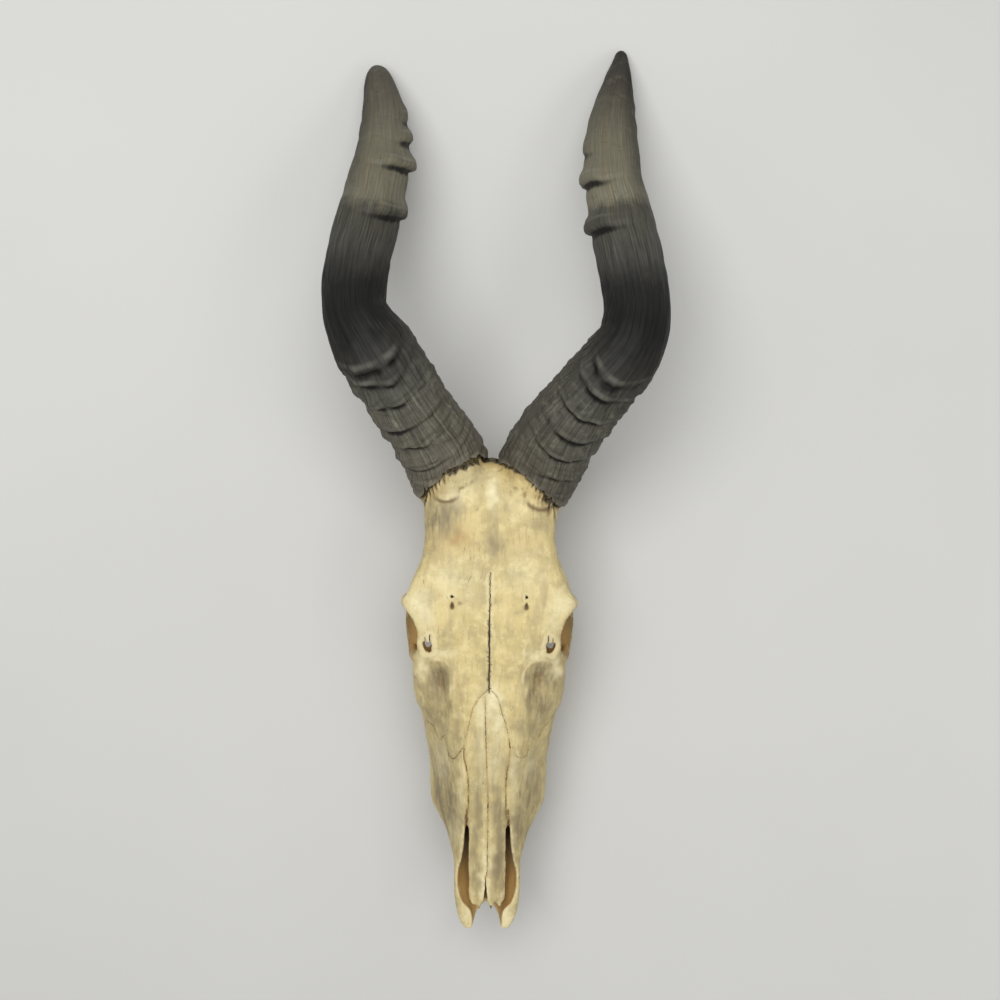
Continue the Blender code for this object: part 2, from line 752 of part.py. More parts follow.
def cheek_tooth(name, tooth, middle_y, side):
    """A worn cheek tooth: root in the socket, crown down to the chewing surface, which has two flat lobes."""
    x = tooth_row_x(middle_y)
    outline = [(a * tooth.width / 2, b * tooth.length / 2) for a, b in CHEEK_OUTLINE + TONGUE_OUTLINE]
    gum = chewing_height(middle_y) + CROWN_HEIGHT
    neck = gum - NECK_BELOW_GUM
    root_top = gum + ROOT_DEPTH
    vertices = [(side * (x + a), middle_y + b, root_top) for a, b in outline]
    vertices += [(side * (x + a), middle_y + b, neck) for a, b in outline]
    for a, b in outline:
        vertices.append((side * (x + a * CROWN_TAPER), middle_y + b, chewing_height(middle_y + b)))
    count = len(outline)
    faces = [tuple(range(count))]
    for row in (0, count):
        for point in range(count):
            beside = (point + 1) % count
            faces.append((row + point, row + beside, row + beside + count, row + point + count))
    crown = 2 * count
    front_lobe = (0, 1, 2, 7, 8, 9)
    hind_lobe = (2, 3, 4, 5, 6, 7)
    faces += [tuple(crown + point for point in lobe) for lobe in (front_lobe, hind_lobe)]
    return turn_outward(mesh_object(name, vertices, faces))


def tooth_row(side_name, side):
    teeth = []
    y = ROW_BACK_Y
    for tooth in TEETH:
        middle = y - tooth.length / 2
        teeth.append(cheek_tooth(f"tooth_{side_name}_{tooth.name}", tooth, middle, side))
        y -= tooth.length + TOOTH_GAP
    return teeth


def socket_trough(side):
    """The trough of the tooth sockets, cut from the jaw bone."""
    rings = []
    y = ROW_BACK_Y + CLEARANCE
    for tooth in TEETH:
        middle = y - CLEARANCE - tooth.length / 2
        half = tooth.width * WIDEST_RIB / 2 + 2 * CLEARANCE
        low = chewing_height(middle) + CROWN_HEIGHT - TROUGH_BELOW_GUM
        high = chewing_height(middle) + CROWN_HEIGHT + ROOT_DEPTH + 2 * CLEARANCE
        for edge in (y, y - tooth.length - 2 * CLEARANCE):
            x = tooth_row_x(edge)
            ring = [(x - half, low), (x + half, low), (x + half, high), (x - half, high)]
            rings.append([(side * a, edge, b) for a, b in ring])
        y -= tooth.length + TOOTH_GAP
    return loft("trough", rings)


def material(name, color, roughness):
    new = bpy.data.materials.new(name)
    new.use_nodes = True
    shader = new.node_tree.nodes["Principled BSDF"]
    shader.inputs["Base Color"].default_value = (*color, 1.0)
    shader.inputs["Roughness"].default_value = roughness
    shader.inputs["Metallic"].default_value = 0.0
    return new


def skull():
    """The bone with its horn cores, the sheaths' seats, the tooth sockets and the small holes of the brow."""
    bone = skull_bone()
    for horn in HORNS.values():
        combine(bone, horn_seat(horn), "DIFFERENCE")
        combine(bone, horn_core(horn), "UNION")
    for side in (-1, 1):
        combine(bone, socket_trough(side), "DIFFERENCE")
        combine(bone, ellipsoid("pit", BROW_PIT, side, detail=1), "DIFFERENCE")
        combine(bone, ellipsoid("slot", RIM_SLOT, side, detail=1), "DIFFERENCE")
    return bone


def set_down(pieces):
    """Moves the whole thing so that its middle stands over the origin."""
    stand = bpy.data.objects.new("stand", None)
    bpy.context.scene.collection.objects.link(stand)
    stand.location = (-MIDDLE_X * MM, -MIDDLE_Y * MM, 0.0)
    for piece in pieces:
        piece.parent = stand


def main():
    clear_scene()
    bone = skull()
    bone.data.materials.append(material("bone", (0.68, 0.58, 0.38), 0.6))
    sheaths = [horn_sheath(f"horn_sheath_{side_name}", horn) for side_name, horn in HORNS.items()]
    horn_material = material("horn", (0.03, 0.028, 0.025), 0.5)
    for sheath in sheaths:
        sheath.data.materials.append(horn_material)
    teeth = tooth_row("left", 1) + tooth_row("right", -1)
    tooth_material = material("tooth", (0.62, 0.55, 0.4), 0.35)
    for tooth in teeth:
        tooth.data.materials.append(tooth_material)
    set_down([bone, *sheaths, *teeth])


HORNS = {"left": Horn(LEFT_HORN, LEFT_RINGS, LEFT_RIM), "right": Horn(RIGHT_HORN, RIGHT_RINGS, RIGHT_RIM)}
main()
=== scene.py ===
"""Red hartebeest skull with its horns, lying on the floor with the forehead up: the detailed model.

The skull is described in its own frame, in millimetres: x to the animal's left, y from the snout to the
horns, z away from the floor, with the middle plane of the head at x = 0. The finished pieces are moved so
that the middle of the whole thing stands over the origin, where the CAD model has it.
"""

import math
from collections import namedtuple

import bmesh
import bpy
import numpy as np
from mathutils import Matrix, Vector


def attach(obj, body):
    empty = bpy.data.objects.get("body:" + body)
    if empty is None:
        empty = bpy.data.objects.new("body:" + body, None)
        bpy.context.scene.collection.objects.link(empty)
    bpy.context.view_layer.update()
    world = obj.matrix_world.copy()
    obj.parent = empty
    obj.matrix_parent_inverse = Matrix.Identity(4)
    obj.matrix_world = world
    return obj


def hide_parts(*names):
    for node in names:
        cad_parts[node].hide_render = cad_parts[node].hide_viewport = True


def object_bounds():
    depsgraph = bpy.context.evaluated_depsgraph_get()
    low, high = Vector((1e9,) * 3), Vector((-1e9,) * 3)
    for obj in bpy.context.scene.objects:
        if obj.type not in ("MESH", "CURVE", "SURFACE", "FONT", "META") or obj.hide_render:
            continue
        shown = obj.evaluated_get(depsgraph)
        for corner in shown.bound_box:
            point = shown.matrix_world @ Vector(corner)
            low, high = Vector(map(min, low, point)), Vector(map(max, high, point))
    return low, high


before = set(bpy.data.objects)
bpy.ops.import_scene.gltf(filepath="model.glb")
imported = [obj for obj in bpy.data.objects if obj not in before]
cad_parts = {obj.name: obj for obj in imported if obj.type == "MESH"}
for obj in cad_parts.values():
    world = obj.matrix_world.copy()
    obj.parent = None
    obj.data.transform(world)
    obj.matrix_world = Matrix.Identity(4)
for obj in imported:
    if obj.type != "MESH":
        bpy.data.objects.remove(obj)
cad_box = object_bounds()

MM = 0.001

# Driving dimensions, in millimetres, as in the CAD model.
FOREHEAD_HEIGHT = 138.0
ORBIT_HALF_BREADTH = 78.5
TOOTH_ROW_LENGTH = 95.0
MOLAR_SPACING = 75.0
PREMOLAR_SPACING = 66.0
CROWN_HEIGHT = 20.0
ROOT_DEPTH = 7.0
SHEATH_SOCKET_DEPTH = 66.0
MIDDLE_X = 3.0
MIDDLE_Y = 23.0

# Depth of the outermost layer in which reliefs are pressed back into the box of the CAD model.
BOX_SOFTNESS = 3.0

# Fineness of the meshes.
COARSE_VOXEL = 1.6
FINE_VOXEL = 1.15
BONE_TRIANGLES = 190000
HORN_COLUMNS = 248
HORN_ROWS = 372

# Steps between neighbours on the curves through the long rows of points, and points round each outline.
LONG_STEPS = 6
HEAD_POINTS = 96
PASSAGE_POINTS = 72

# Cross-sections of the head's long block: y, height of the middle line, x and z of the brow edge, of the
# widest point and of the lower flank, and height of the underside.
HEAD = (
    (38.5, 113, 14, 111, 22, 106, 14, 101, 100), (32, 121, 32, 119, 50, 108, 36, 95, 92),
    (18, 129, 42, 128, 60, 112, 44, 90, 82), (0, 134, 46, 133, 61, 116, 45, 90, 72),
    (-20, 136.5, 47, 135.5, 59.5, 118, 45, 92, 66),
    (-40, FOREHEAD_HEIGHT, 48, 137, 59.5, 120, 44, 96, 66),
    (-58, FOREHEAD_HEIGHT, 50, 137, 63, 122, 41, 98, 62),
    (-72, FOREHEAD_HEIGHT, 55, 136.5, 68, 124.5, 39, 98, 58),
    (-84, FOREHEAD_HEIGHT, 60, 135.5, 74, 124.5, 38, 97, 58),
    (-95, 137.5, 62, 134.5, ORBIT_HALF_BREADTH, 123, 37, 95, 58),
    (-106, 137, 58, 134, 70, 124, 36, 92, 58), (-124, 136, 50, 133, 61, 122, 38, 84, 56),
    (-139, 135, 46, 132, 67, 110, 48, 72, 52), (-155, 134, 44, 131, 69.5, 102, 57, 62, 44),
    (-175, 133, 42, 130, 69, 96, 56, 50, 34), (-188, 132, 40, 128, 66, 94, 55, 48, 35),
    (-198, 132, 38, 127, 61, 92, 54, 49, 37), (-222, 130, 33, 123, 56, 89, 51, 53, 42),
    (-242, 128.5, 29, 121, 52.5, 87, 48.5, 57, 47), (-277, 124.5, 25, 117, 51.3, 85, 45, 64, 56),
    (-291, 120.5, 23, 114, 46, 85, 38, 68, 62), (-306, 113, 24, 112, 38, 91, 31, 73, 69),
    (-331, 107, 25, 106.5, 31, 94, 25, 77, 75), (-352, 103, 26, 102, 30.2, 93, 23, 80, 78),
    (-370, 99.5, 25, 99, 29.6, 91, 22, 82, 80), (-386, 97, 22.5, 96.5, 26, 90, 20, 84.5, 83.5),
    (-397, 95, 18, 94, 21, 90, 17, 86.5, 85.5),
)

# The nasal passage, open to the front and, between the premaxillae, above. Its walls lean in towards its
# floor: y, half widths from the rim up, halfway down and at the floor, and heights of floor, rim and top.
NASAL_PASSAGE = (
    (-412, 12.5, 12.5, 12.5, 88, 97, 150), (-396, 13, 13, 13, 88, 97, 150),
    (-385, 13.2, 13, 13, 87.5, 97, 150), (-378, 15.5, 14, 13, 87, 97, 148),
    (-371, 22, 17, 13.5, 86, 98, 147), (-362, 25.4, 19.5, 14, 85, 99, 146),
    (-352, 27, 20, 14.5, 84, 100, 146), (-341, 26.4, 20.5, 15, 82, 102, 145),
    (-331, 23.6, 20.5, 16, 80, 104, 144), (-318, 21.6, 20.5, 17, 77, 107, 143),
    (-306, 20.6, 20.5, 18, 75, 110, 142), (-297, 20.2, 20.5, 19, 72, 114, 137),
    (-289, 19.6, 21, 19, 70, 110, 134), (-283, 19.0, 21, 18.9, 68, 100, 124),
    (-276, 18.9, 21, 18.9, 66, 91, 116), (-242, 23.4, 26, 23.4, 55, 88, 120.5),
    (-196, 24.3, 27, 24.3, 46, 84, 122), (-166, 18, 20, 18, 41, 76, 112),
    (-152, 12.6, 14, 12.6, 37, 55, 72), (-124, 11.7, 13, 11.7, 31, 42, 54),
    (-92, 10.8, 12, 10.8, 25, 32, 40),
)

# The two nasal bones together: y, half width, height of the middle line, drop of the edge and thickness.
Roof = namedtuple("Roof", "y half_width top drop thickness")
NASALS = (
    Roof(-177, 5, 133.5, 1, 5), Roof(-198, 15.5, 133.5, 3, 6), Roof(-223, 20.5, 131.7, 6, 7),
    Roof(-240, 19.3, 130, 6, 6), Roof(-256, 17.4, 128.5, 5.5, 5), Roof(-285, 17.2, 125.5, 5.5, 4.5),
    Roof(-320, 17.3, 120, 5.5, 4), Roof(-352, 17.3, 113.5, 5, 3.6), Roof(-367, 16.5, 110, 4.5, 3.4),
)
# The points in which the nasal bones end: x and y.
NASAL_POINTS = ((-12.3, -371.5), (-7.4, -376), (4, -376), (11.5, -373))
# The wedge between the ends of the two nasal bones: y and half width.
NASAL_WEDGE_X = -1.2
NASAL_WEDGE = ((-344, 0.2), (-352, 0.6), (-360, 1.3), (-370, 2.4), (-384, 3.6))

# Rods of bone: points (x, y, z, half width, half height), mirrored to the other side where x isn't 0.
ZYGOMATIC_ARCH = (
    (40, -36, 52, 9, 7), (53, -48, 55, 7, 6.5), (63, -63, 60, 4.5, 7), (70, -79, 66, 4, 8),
    (73.5, -96, 71, 4.5, 8.5), (72, -116, 74, 6.5, 8.5), (69.5, -132, 79, 7, 9), (65, -146, 86, 7.5, 11),
    (58, -158, 88, 8, 11),
)
ORBIT_FLOOR = (
    (72, -100, 76, 5, 3.5), (66, -116, 77, 10, 3.5), (62, -132, 80, 13, 4.5), (58, -146, 84, 14, 8),
)
POSTORBITAL_BAR = (
    (70, -92, 124, 6, 6), (76, -93, 116, 4.5, 5.5), (77.5, -93, 104, 3.8, 5.5), (76.5, -93, 90, 3.8, 6),
    (74, -92, 74, 4, 7),
)
LACRIMAL_RIM = (
    (56, -138, 120, 6, 7), (64, -143, 110, 5.5, 6), (69, -143, 98, 4.5, 6), (71, -139, 86, 4, 7),
)
SUPRAORBITAL_RIM = (
    (75, -95, 124, 3.5, 4), (70, -102, 126, 3.2, 4), (65, -111, 127, 3.2, 4), (62, -121, 126, 3.4, 4),
    (62.5, -131, 122, 3.4, 4.5), (61, -139, 118, 3.6, 5),
)
BASE_OF_SKULL = (
    (0, 2, 26, 15, 9), (0, -24, 27, 14, 8), (0, -50, 31, 11, 8), (0, -80, 40, 10, 9),
    (0, -112, 52, 10, 11), (0, -147, 62, 11, 14),
)
NUCHAL_CREST = (
    (0, 2, 74, 5, 5), (16, 0, 72, 5, 5), (30, -6, 62, 5, 5), (40, -17, 49, 5, 5), (45, -34, 45, 5, 5),
)
NECK_PROCESS = (
    (34, -12, 46, 7, 8), (34, -10, 30, 5, 7), (32, -9, 17, 3.5, 6), (30, -9, 9, 2.5, 4),
)
EAR_TUBE = (
    (30, -38, 40, 6, 6), (41, -34, 44, 5.5, 5.5), (49, -30, 46, 4.5, 4.5),
)
PTERYGOID_PLATE = (
    (19, -163, 48, 4, 16), (17, -147, 43, 2.8, 15), (15.5, -126, 39, 2.4, 14), (14, -104, 36, 2.2, 12),
    (13, -82, 35, 2.2, 9),
)
PAIRED_RODS = (ZYGOMATIC_ARCH, NUCHAL_CREST, NECK_PROCESS, EAR_TUBE, PTERYGOID_PLATE)
RIM_RODS = (POSTORBITAL_BAR, LACRIMAL_RIM, SUPRAORBITAL_RIM, ORBIT_FLOOR)

# Rounded masses of bone: centre and radii.
Mass = namedtuple("Mass", "center radii")
BRAINCASE = Mass((0, -32, 68), (43, 52, 38))
OCCIPUT = Mass((0, -8, 48), (37, 15, 28))
CONDYLE = Mass((14, 3, 21), (9.5, 12, 11))
BULLA = Mass((22, -42, 28), (8.5, 15, 12))
JAW_JOINT = Mass((47, -48, 53), (14, 12, 6))
CHEEK_TUBERCLE = Mass((61, -153, 106), (8, 15, 12))
MAXILLA_END = Mass((40, -165, 46), (13, 12, 24))
PAIRED_MASSES = (CONDYLE, BULLA, JAW_JOINT, CHEEK_TUBERCLE, MAXILLA_END)

# The bar of bone over each tooth row.
RIDGE_HALF_WIDTH = 11.0
RIDGE_NARROWING = 3.5
RIDGE_HEIGHT = 26.0
RIDGE_BULGE = 4.0
RIDGE_END = 8.0

# Hollows cut from the bone. The spinal opening and the notch between the premaxillae lie in the middle plane.
SPINAL_OPENING = Mass((0, 14, 33), (11, 26, 10))
FRONT_NOTCH = Mass((0, -405, 90), (13.5, 35, 16))
ORBIT = Mass((70, -118, 99), (31, 23, 22))
PALATE_SLIT = Mass((9, -340, 76), (4.5, 26, 20))
PAIRED_HOLLOWS = (ORBIT, PALATE_SLIT)

# Small holes, cut last.
BROW_HOLE = Mass((33.6, -87.2, 134), (1.25, 1.35, 6))
RIM_SLIT = Mass((53.6, -125, 124), (0.8, 4.6, 12))
OUTER_SLIT = Mass((57.8, -126.5, 122), (0.6, 3.2, 12))
ORBIT_WINDOW = Mass((56.4, -133, 80), (4.4, 6.2, 15))
CHEEK_HOLE = Mass((51, -246, 68), (5, 3.5, 2.6))
PALATE_HOLE = Mass((17, -208, 42), (1.8, 2.6, 6))
PAIRED_HOLES = (BROW_HOLE, RIM_SLIT, OUTER_SLIT, ORBIT_WINDOW, CHEEK_HOLE, PALATE_HOLE)
# The broken hole in the rim of each orbit, as seen from above: x and y of its corners.
RIM_SLOT = (
    (60.2, -129), (57.5, -128), (55.5, -129.2), (52.8, -127.6), (51.4, -131), (52, -134.5), (51.8, -138),
    (54.5, -139.4), (57.5, -138.4), (59.4, -135), (60.4, -132),
)

# Centre line of each horn from base to tip: x, y, z and half width as seen from above.
RIGHT_HORN = (
    (-36, 20, 104, 37.5), (-45, 44, 123, 37.5), (-59, 66, 141, 35), (-71, 84, 154, 34.5),
    (-82, 101, 164, 34.5), (-92.5, 117, 172, 35), (-102, 131, 176, 34.5), (-112, 146.5, 176, 31.2),
    (-119.5, 161, 171, 28.6), (-122.5, 177, 162.5, 29), (-122.5, 195, 152, 29.5), (-121, 214, 140, 29.5),
    (-118, 234, 127, 29.5), (-114.5, 254, 114, 29.5), (-111.5, 271, 103, 29), (-109.5, 287, 92.5, 28.5),
    (-107.5, 303, 82, 27.5), (-105.5, 318, 72, 26.5), (-104.5, 333, 62, 25), (-105, 349, 52, 23.5),
    (-106, 366, 42, 21.5), (-109, 386, 29.5, 18.5), (-113, 407, 17, 13.5), (-114.5, 417, 8.2, 9),
    (-113.5, 423, 3.73, 5),
)
LEFT_HORN = (
    (38, 15, 103, 37), (45, 31, 115, 38.5), (55, 51, 131, 37), (67, 69, 146, 35.5), (81, 87, 158, 34),
    (96, 105, 169, 33), (112, 123, 176, 32), (122.5, 140, 177, 30.5), (127.5, 160, 170.5, 30),
    (128, 178, 161, 30), (126, 200, 148, 30.5), (122.5, 223, 134, 30.5), (118.5, 244, 121.5, 30),
    (115.5, 265, 109, 29), (112.5, 284, 97.5, 28), (111, 300, 88, 27), (110.5, 315, 79.5, 26.5),
    (110.5, 330, 71, 25.5), (111, 346, 61.5, 24), (112.5, 364, 51, 21.5), (115.5, 385, 38.5, 18),
    (119.5, 408, 25, 13), (122.5, 428, 11, 8), (123.5, 441, 3.52, 4.5),
)
HORN_DEPTH_RATIO = 0.92

# Growth rings: distance of the crest from the base along the front of the horn, height, the side that it
# faces as an angle round the horn (0 is the animal's left, 90 the front), how far round it reaches, how much
# further up the horn it lies at the side than in front, and how far it spreads towards the base.
Ring = namedtuple("Ring", "at height facing reach slant spread")
RIGHT_RINGS = (
    Ring(45, 2.4, 145, 115, 6, 2.9), Ring(67, 3.2, 140, 115, 14, 2.9), Ring(86.5, 3.4, 136, 115, 14, 3.0),
    Ring(108, 3.8, 130, 115, 23, 3.0), Ring(129.5, 4.6, 120, 115, 25, 3.2),
    Ring(142.5, 4.4, 108, 105, 28, 3.6), Ring(288, 5.6, 20, 165, 22, 4.4),
    Ring(349, 6.4, 15, 160, 20, 4.4), Ring(382.5, 3.6, 10, 80, 18, 5.0), Ring(412, 2.2, 5, 65, 16, 5.5),
)
LEFT_RINGS = (
    Ring(40.5, 2.2, 56, 120, 4, 2.9), Ring(65, 3.4, 60, 125, 9, 2.9), Ring(82.5, 3.8, 64, 125, 16, 3.0),
    Ring(103.5, 4.2, 68, 125, 21, 3.0), Ring(127, 4.6, 76, 120, 26, 3.2),
    Ring(141.5, 4.2, 80, 105, 30, 3.6), Ring(285, 6.2, 160, 160, 16, 4.4),
    Ring(341.5, 5.4, 165, 155, 13, 4.4), Ring(380, 2.0, 175, 75, 10, 5.0),
)
RINGED_LENGTH = 200.0
RING_GENTLE_SIDE = 9.5
RING_ROUNDNESS = 1.7
RING_OVERHANG = 0.28
TIP_ROUNDING = 7.0
# How much the strength of a ring varies on its way round, near the base and further up.
LOW_RING_WILDNESS = 0.42
HIGH_RING_WILDNESS = 0.12
# Radius of the cylinder on which the fine patterns of the horns are laid out.
PATTERN_RADIUS = 33.0

# The sheath's rim: how far up the horn it lies at angles round the horn.
RIGHT_RIM = ((0, 8), (35, 26), (65, 32), (95, 32), (117, 22), (140, 7), (178, -6), (230, -8), (300, 0))
LEFT_RIM = (
    (0, -1), (20, -2), (42, 4), (60, 13), (85, 25), (110, 29), (140, 22), (178, 9), (240, 0), (310, -7),
)

# Where the bone stands back from the rim, by angle round the horn: a plain dark gap, or notches like teeth.
Gap = namedtuple("Gap", "start end depth")
RIGHT_GAPS = (Gap(32, 94, 5.4), Gap(4, 24, 4.2))
LEFT_GAPS = (Gap(92, 145, 1.7), Gap(60, 66, 6.0))
RIGHT_NOTCHES = Gap(99, 155, 7.4)
LEFT_NOTCHES = Gap(44, 92, 5.2)
NOTCH_SPACING = 8.2

# How light each horn is at places along it, against the common colours of the horns.
TONE_PLACES = (0, 120, 180, 240, 290, 340, 500)
RIGHT_TONE = (1.1, 1.04, 0.86, 1.75, 1.25, 1.12, 0.9)
LEFT_TONE = (0.77, 0.8, 0.82, 2.4, 1.6, 1.3, 0.35)

# The sheath's wall: thin at the rim, thicker inside. The core stands off from it.
RIM_WALL = 2.2
INNER_WALL = 5.0
WALL_GROWTH_LENGTH = 24.0
SOCKET_TAPER = 0.2
CORE_GAP = 1.6
SEAT_MARGIN = 1.6
# Rows of points of the socket and of the core, as shares of the way from the rim to the socket's end.
SOCKET_SHARES = (1.0, 0.85, 0.7, 0.55, 0.42, 0.3, 0.2, 0.12, 0.06, 0.02, 0.0)
CORE_SHARES = (0.94, 0.82, 0.66, 0.5, 0.35, 0.2, 0.1, 0.0)

# The collar of bone under the rim: where it starts and ends along the horn, and how far inside the horn's
# surface it lies at shares of its length.
COLLAR_START = -26.0
COLLAR_TOP = 6.0
COLLAR_PROFILE = ((0.0, 14.0), (0.3, 7.0), (0.6, 3.5), (1.0, 2.5))

# Upper cheek teeth from the back of the row to the front: name, length along the row and width across.
Tooth = namedtuple("Tooth", "name length width")
TEETH = (
    Tooth("m3", 22.0, 14.5), Tooth("m2", 21.5, 16.0), Tooth("m1", 18.0, 16.0), Tooth("p4", 12.0, 14.0),
    Tooth("p3", 11.0, 12.0), Tooth("p2", 8.5, 10.0),
)
TOOTH_GAP = 1.0
ROW_BACK_Y = -168.0
ROW_SLOPE = math.radians(15.0)
# Outline of a tooth seen from below, as shares of its half width and half length: three ribs on the cheek
# side, two lobes towards the tongue.
TOOTH_OUTLINE = (
    (0.8, -0.96), (1.0, -0.84), (0.8, -0.6), (0.9, -0.38), (0.76, -0.16), (1.0, 0.02), (0.76, 0.2),
    (0.9, 0.42), (0.8, 0.62), (0.98, 0.84), (0.78, 0.96), (0.2, 0.97), (-0.5, 0.93), (-0.88, 0.7),
    (-0.96, 0.45), (-0.74, 0.16), (-0.5, 0.0), (-0.74, -0.16), (-0.96, -0.45), (-0.88, -0.7),
    (-0.5, -0.93), (0.2, -0.97),
)

# Bulges of the forehead under the rims as seen from above: middle and radii.
Bulge = namedtuple("Bulge", "x y radius_x radius_y")
BULGES = (Bulge(-40, 8, 12.5, 10.3), Bulge(46, 5, 15, 13.8))

# Small pits of the forehead, where shade is painted dark: how dark they are, x and y of the middle, length
# against width, and the radii between which the dark fades.
PITS = (
    (0.8, -33.6, -87.2, 1, 1.0, 2.2), (0.8, 33.6, -87.2, 1, 1.0, 2.2), (0.6, -26.5, -93, 1, 0.6, 2.4),
    (1.0, -11, -9, 1, 0.5, 1.6), (1.0, 49.4, 0.5, 1.7, 0.6, 1.8),
)

# Seams between bones as seen from above: how dark they are, then x and y. The midline crack stands open.
MIDLINE_CRACK = ((1.2, -65), (0.4, -72), (0.6, -90), (0.2, -117), (0.5, -144), (0.3, -160), (0.6, -173))
SEAMS = (
    (0.85, ((-3.2, -178.5), (-1.9, -217.5), (-0.7, -249), (0.3, -267.5), (0.1, -335.5), (-1.2, -345))),
    (0.7, (
        (0.4, -171), (-4, -174.5), (-9.4, -180), (-14, -188.5), (-16.6, -199.5), (-19.2, -211), (-21.8, -222),
    )),
    (1.0, ((-21.8, -222), (-21.7, -233), (-19.8, -242), (-17.9, -254), (-17.6, -279), (-20.3, -290))),
    (0.7, (
        (0.4, -171), (4, -173), (7.7, -177.5), (10.5, -185.5), (13.3, -194.5), (17, -206.5), (18.9, -217),
    )),
    (1.0, (
        (18.9, -217), (19.9, -226), (19.1, -237), (17.4, -247), (16.6, -258), (16.8, -282), (17.7, -290),
    )),
    (0.3, (
        (-51.5, -134.5), (-39.8, -136), (-35.2, -145), (-32.4, -154), (-28, -165), (-25.9, -172),
        (-23.9, -186), (-22.5, -200), (-21.9, -208), (-20.9, -222),
    )),
    (0.3, (
        (53.4, -133.5), (41.7, -135.5), (32.7, -144.5), (29.2, -153.5), (26.5, -166), (25, -178), (23, -192),
        (21.5, -206), (20.5, -220),
    )),
    (0.4, ((-53, -213), (-48, -215.5), (-43, -216.5), (-38, -220.5), (-37, -227))),
    (0.75, ((-37, -227), (-35.5, -233.5), (-31, -235.5), (-25.6, -228.5), (-22.9, -223.5))),
    (0.6, ((21.8, -223.5), (25, -230.5), (28.2, -233.5), (34.6, -233), (36.4, -226))),
    (0.35, ((36.4, -226), (37.2, -218.5), (40.9, -220.5), (45.4, -217.5), (49.9, -213))),
)

# Seams on the sides of the head, the same left and right: how dark they are, then y and z.
SIDE_SEAMS = (
    (0.8, ((-356, 85), (-345, 88), (-336, 94), (-325, 96), (-316, 100))),
    (0.7, (
        (-215, 118), (-219, 111), (-207, 106), (-203, 98), (-190, 96), (-184, 87), (-173, 82), (-171, 66),
    )),
    (0.55, ((-145, 101), (-156, 97), (-168, 99), (-178, 94), (-190, 96))),
    (0.6, ((-76, 121), (-66, 110), (-58, 104), (-55, 92), (-47, 84), (-47, 72))),
    (0.7, ((-103, 79), (-96, 72), (-84, 68), (-74, 60))),
)
SIDE_SEAM_INNERMOST = 20.0
# Distances from a seam between which its mark on the bone beside it fades.
SEAM_NEARNESS = (1.6, 3.4)

# Colours of the horns from the rim (0) to the tip (1).
HORN_COLORS = (
    (0.0, (0.112, 0.1, 0.077)), (0.10, (0.1, 0.093, 0.072)), (0.19, (0.082, 0.078, 0.062)),
    (0.25, (0.05, 0.049, 0.041)), (0.285, (0.026, 0.0255, 0.022)), (0.32, (0.012, 0.012, 0.0112)),
    (0.40, (0.01, 0.01, 0.0095)), (0.50, (0.031, 0.0305, 0.026)), (0.572, (0.046, 0.044, 0.034)),
    (0.60, (0.125, 0.117, 0.084)), (0.76, (0.135, 0.125, 0.088)), (0.88, (0.094, 0.085, 0.065)),
    (1.0, (0.075, 0.067, 0.052)),
)

# The stage, in metres: the floor just under the lowest points, the light of the room, the lamps (name, place,
# size and power, all turned to the origin) and the camera.
FLOOR_SIZE = 9.0
FLOOR_GAP = 0.0004
ROOM_COLOR = (1.0, 0.99, 0.97, 1.0)
ROOM_LIGHT = 0.36
LAMPS = (("main light", (-0.5, 0.6, 2.4), 2.0, 58), ("fill light", (1.2, -0.7, 2.0), 1.8, 19))
CAMERA_PLACE = (0.00573, -0.02292, 1.6)
CAMERA_TURN = 0.0093
SENSOR_WIDTH = 36.0
FOCAL_LENGTH = 58.6


def smooth_path(points, steps):
    """A smooth curve through the rows of points, with the given number of steps between neighbours."""
    rows = np.array(points, dtype=float)
    ends = np.vstack([2 * rows[0] - rows[1], rows, 2 * rows[-1] - rows[-2]])
    t = (np.arange(steps) / steps)[:, None]
    out = []
    for before, start, end, after in zip(ends, ends[1:], ends[2:], ends[3:]):
        linear = (end - before) * t
        square = (2 * before - 5 * start + 4 * end - after) * t**2
        cube = (3 * start - before - 3 * end + after) * t**3
        out.append(0.5 * (2 * start + linear + square + cube))
    out.append(rows[-1:])
    return np.vstack(out)


def lengths_along(points):
    """How far along its line each of the points lies."""
    return np.concatenate([[0.0], np.cumsum(np.linalg.norm(np.diff(points, axis=0), axis=1))])


def smooth_loop(points, count):
    """A smooth closed curve through the points, sampled at count places evenly along it."""
    rows = np.array(points, dtype=float)
    steps = 12
    dense = smooth_path(np.vstack([rows[-1], rows, rows[0], rows[1]]), steps)[steps:-steps]
    along = lengths_along(dense)
    wanted = np.linspace(0, along[-1], count, endpoint=False)
    return np.column_stack([np.interp(wanted, along, dense[:, axis]) for axis in range(dense.shape[1])])


def smooth_step(value, low, high):
    """0 at low and 1 at high, with soft ends. It falls where low is the larger of the two."""
    share = np.clip((value - low) / (high - low), 0.0, 1.0)
    return share * share * (3 - 2 * share)


def window(value, start, end, edge):
    """1 between start and end, with soft edges on both."""
    return smooth_step(value, start - edge, start + edge) * smooth_step(-value, -end - edge, -end + edge)


def bell(value, width):
    """1 where the value is 0, falling off softly over the width."""
    return np.exp(-((value / width) ** 2))


def unit(rows):
    return rows / np.linalg.norm(rows, axis=1)[:, None]


def circle(angles):
    """Points on a circle of radius 1 at angles in degrees."""
    turn = np.radians(angles)
    return np.column_stack([np.cos(turn).ravel(), np.sin(turn).ravel()])


def wrapped(turn, radius, height):
    """Points on an upright cylinder, so that patterns read there run on all the way round a horn."""
    return np.stack([np.cos(turn) * radius, np.sin(turn) * radius, height], axis=-1).reshape(-1, 3)


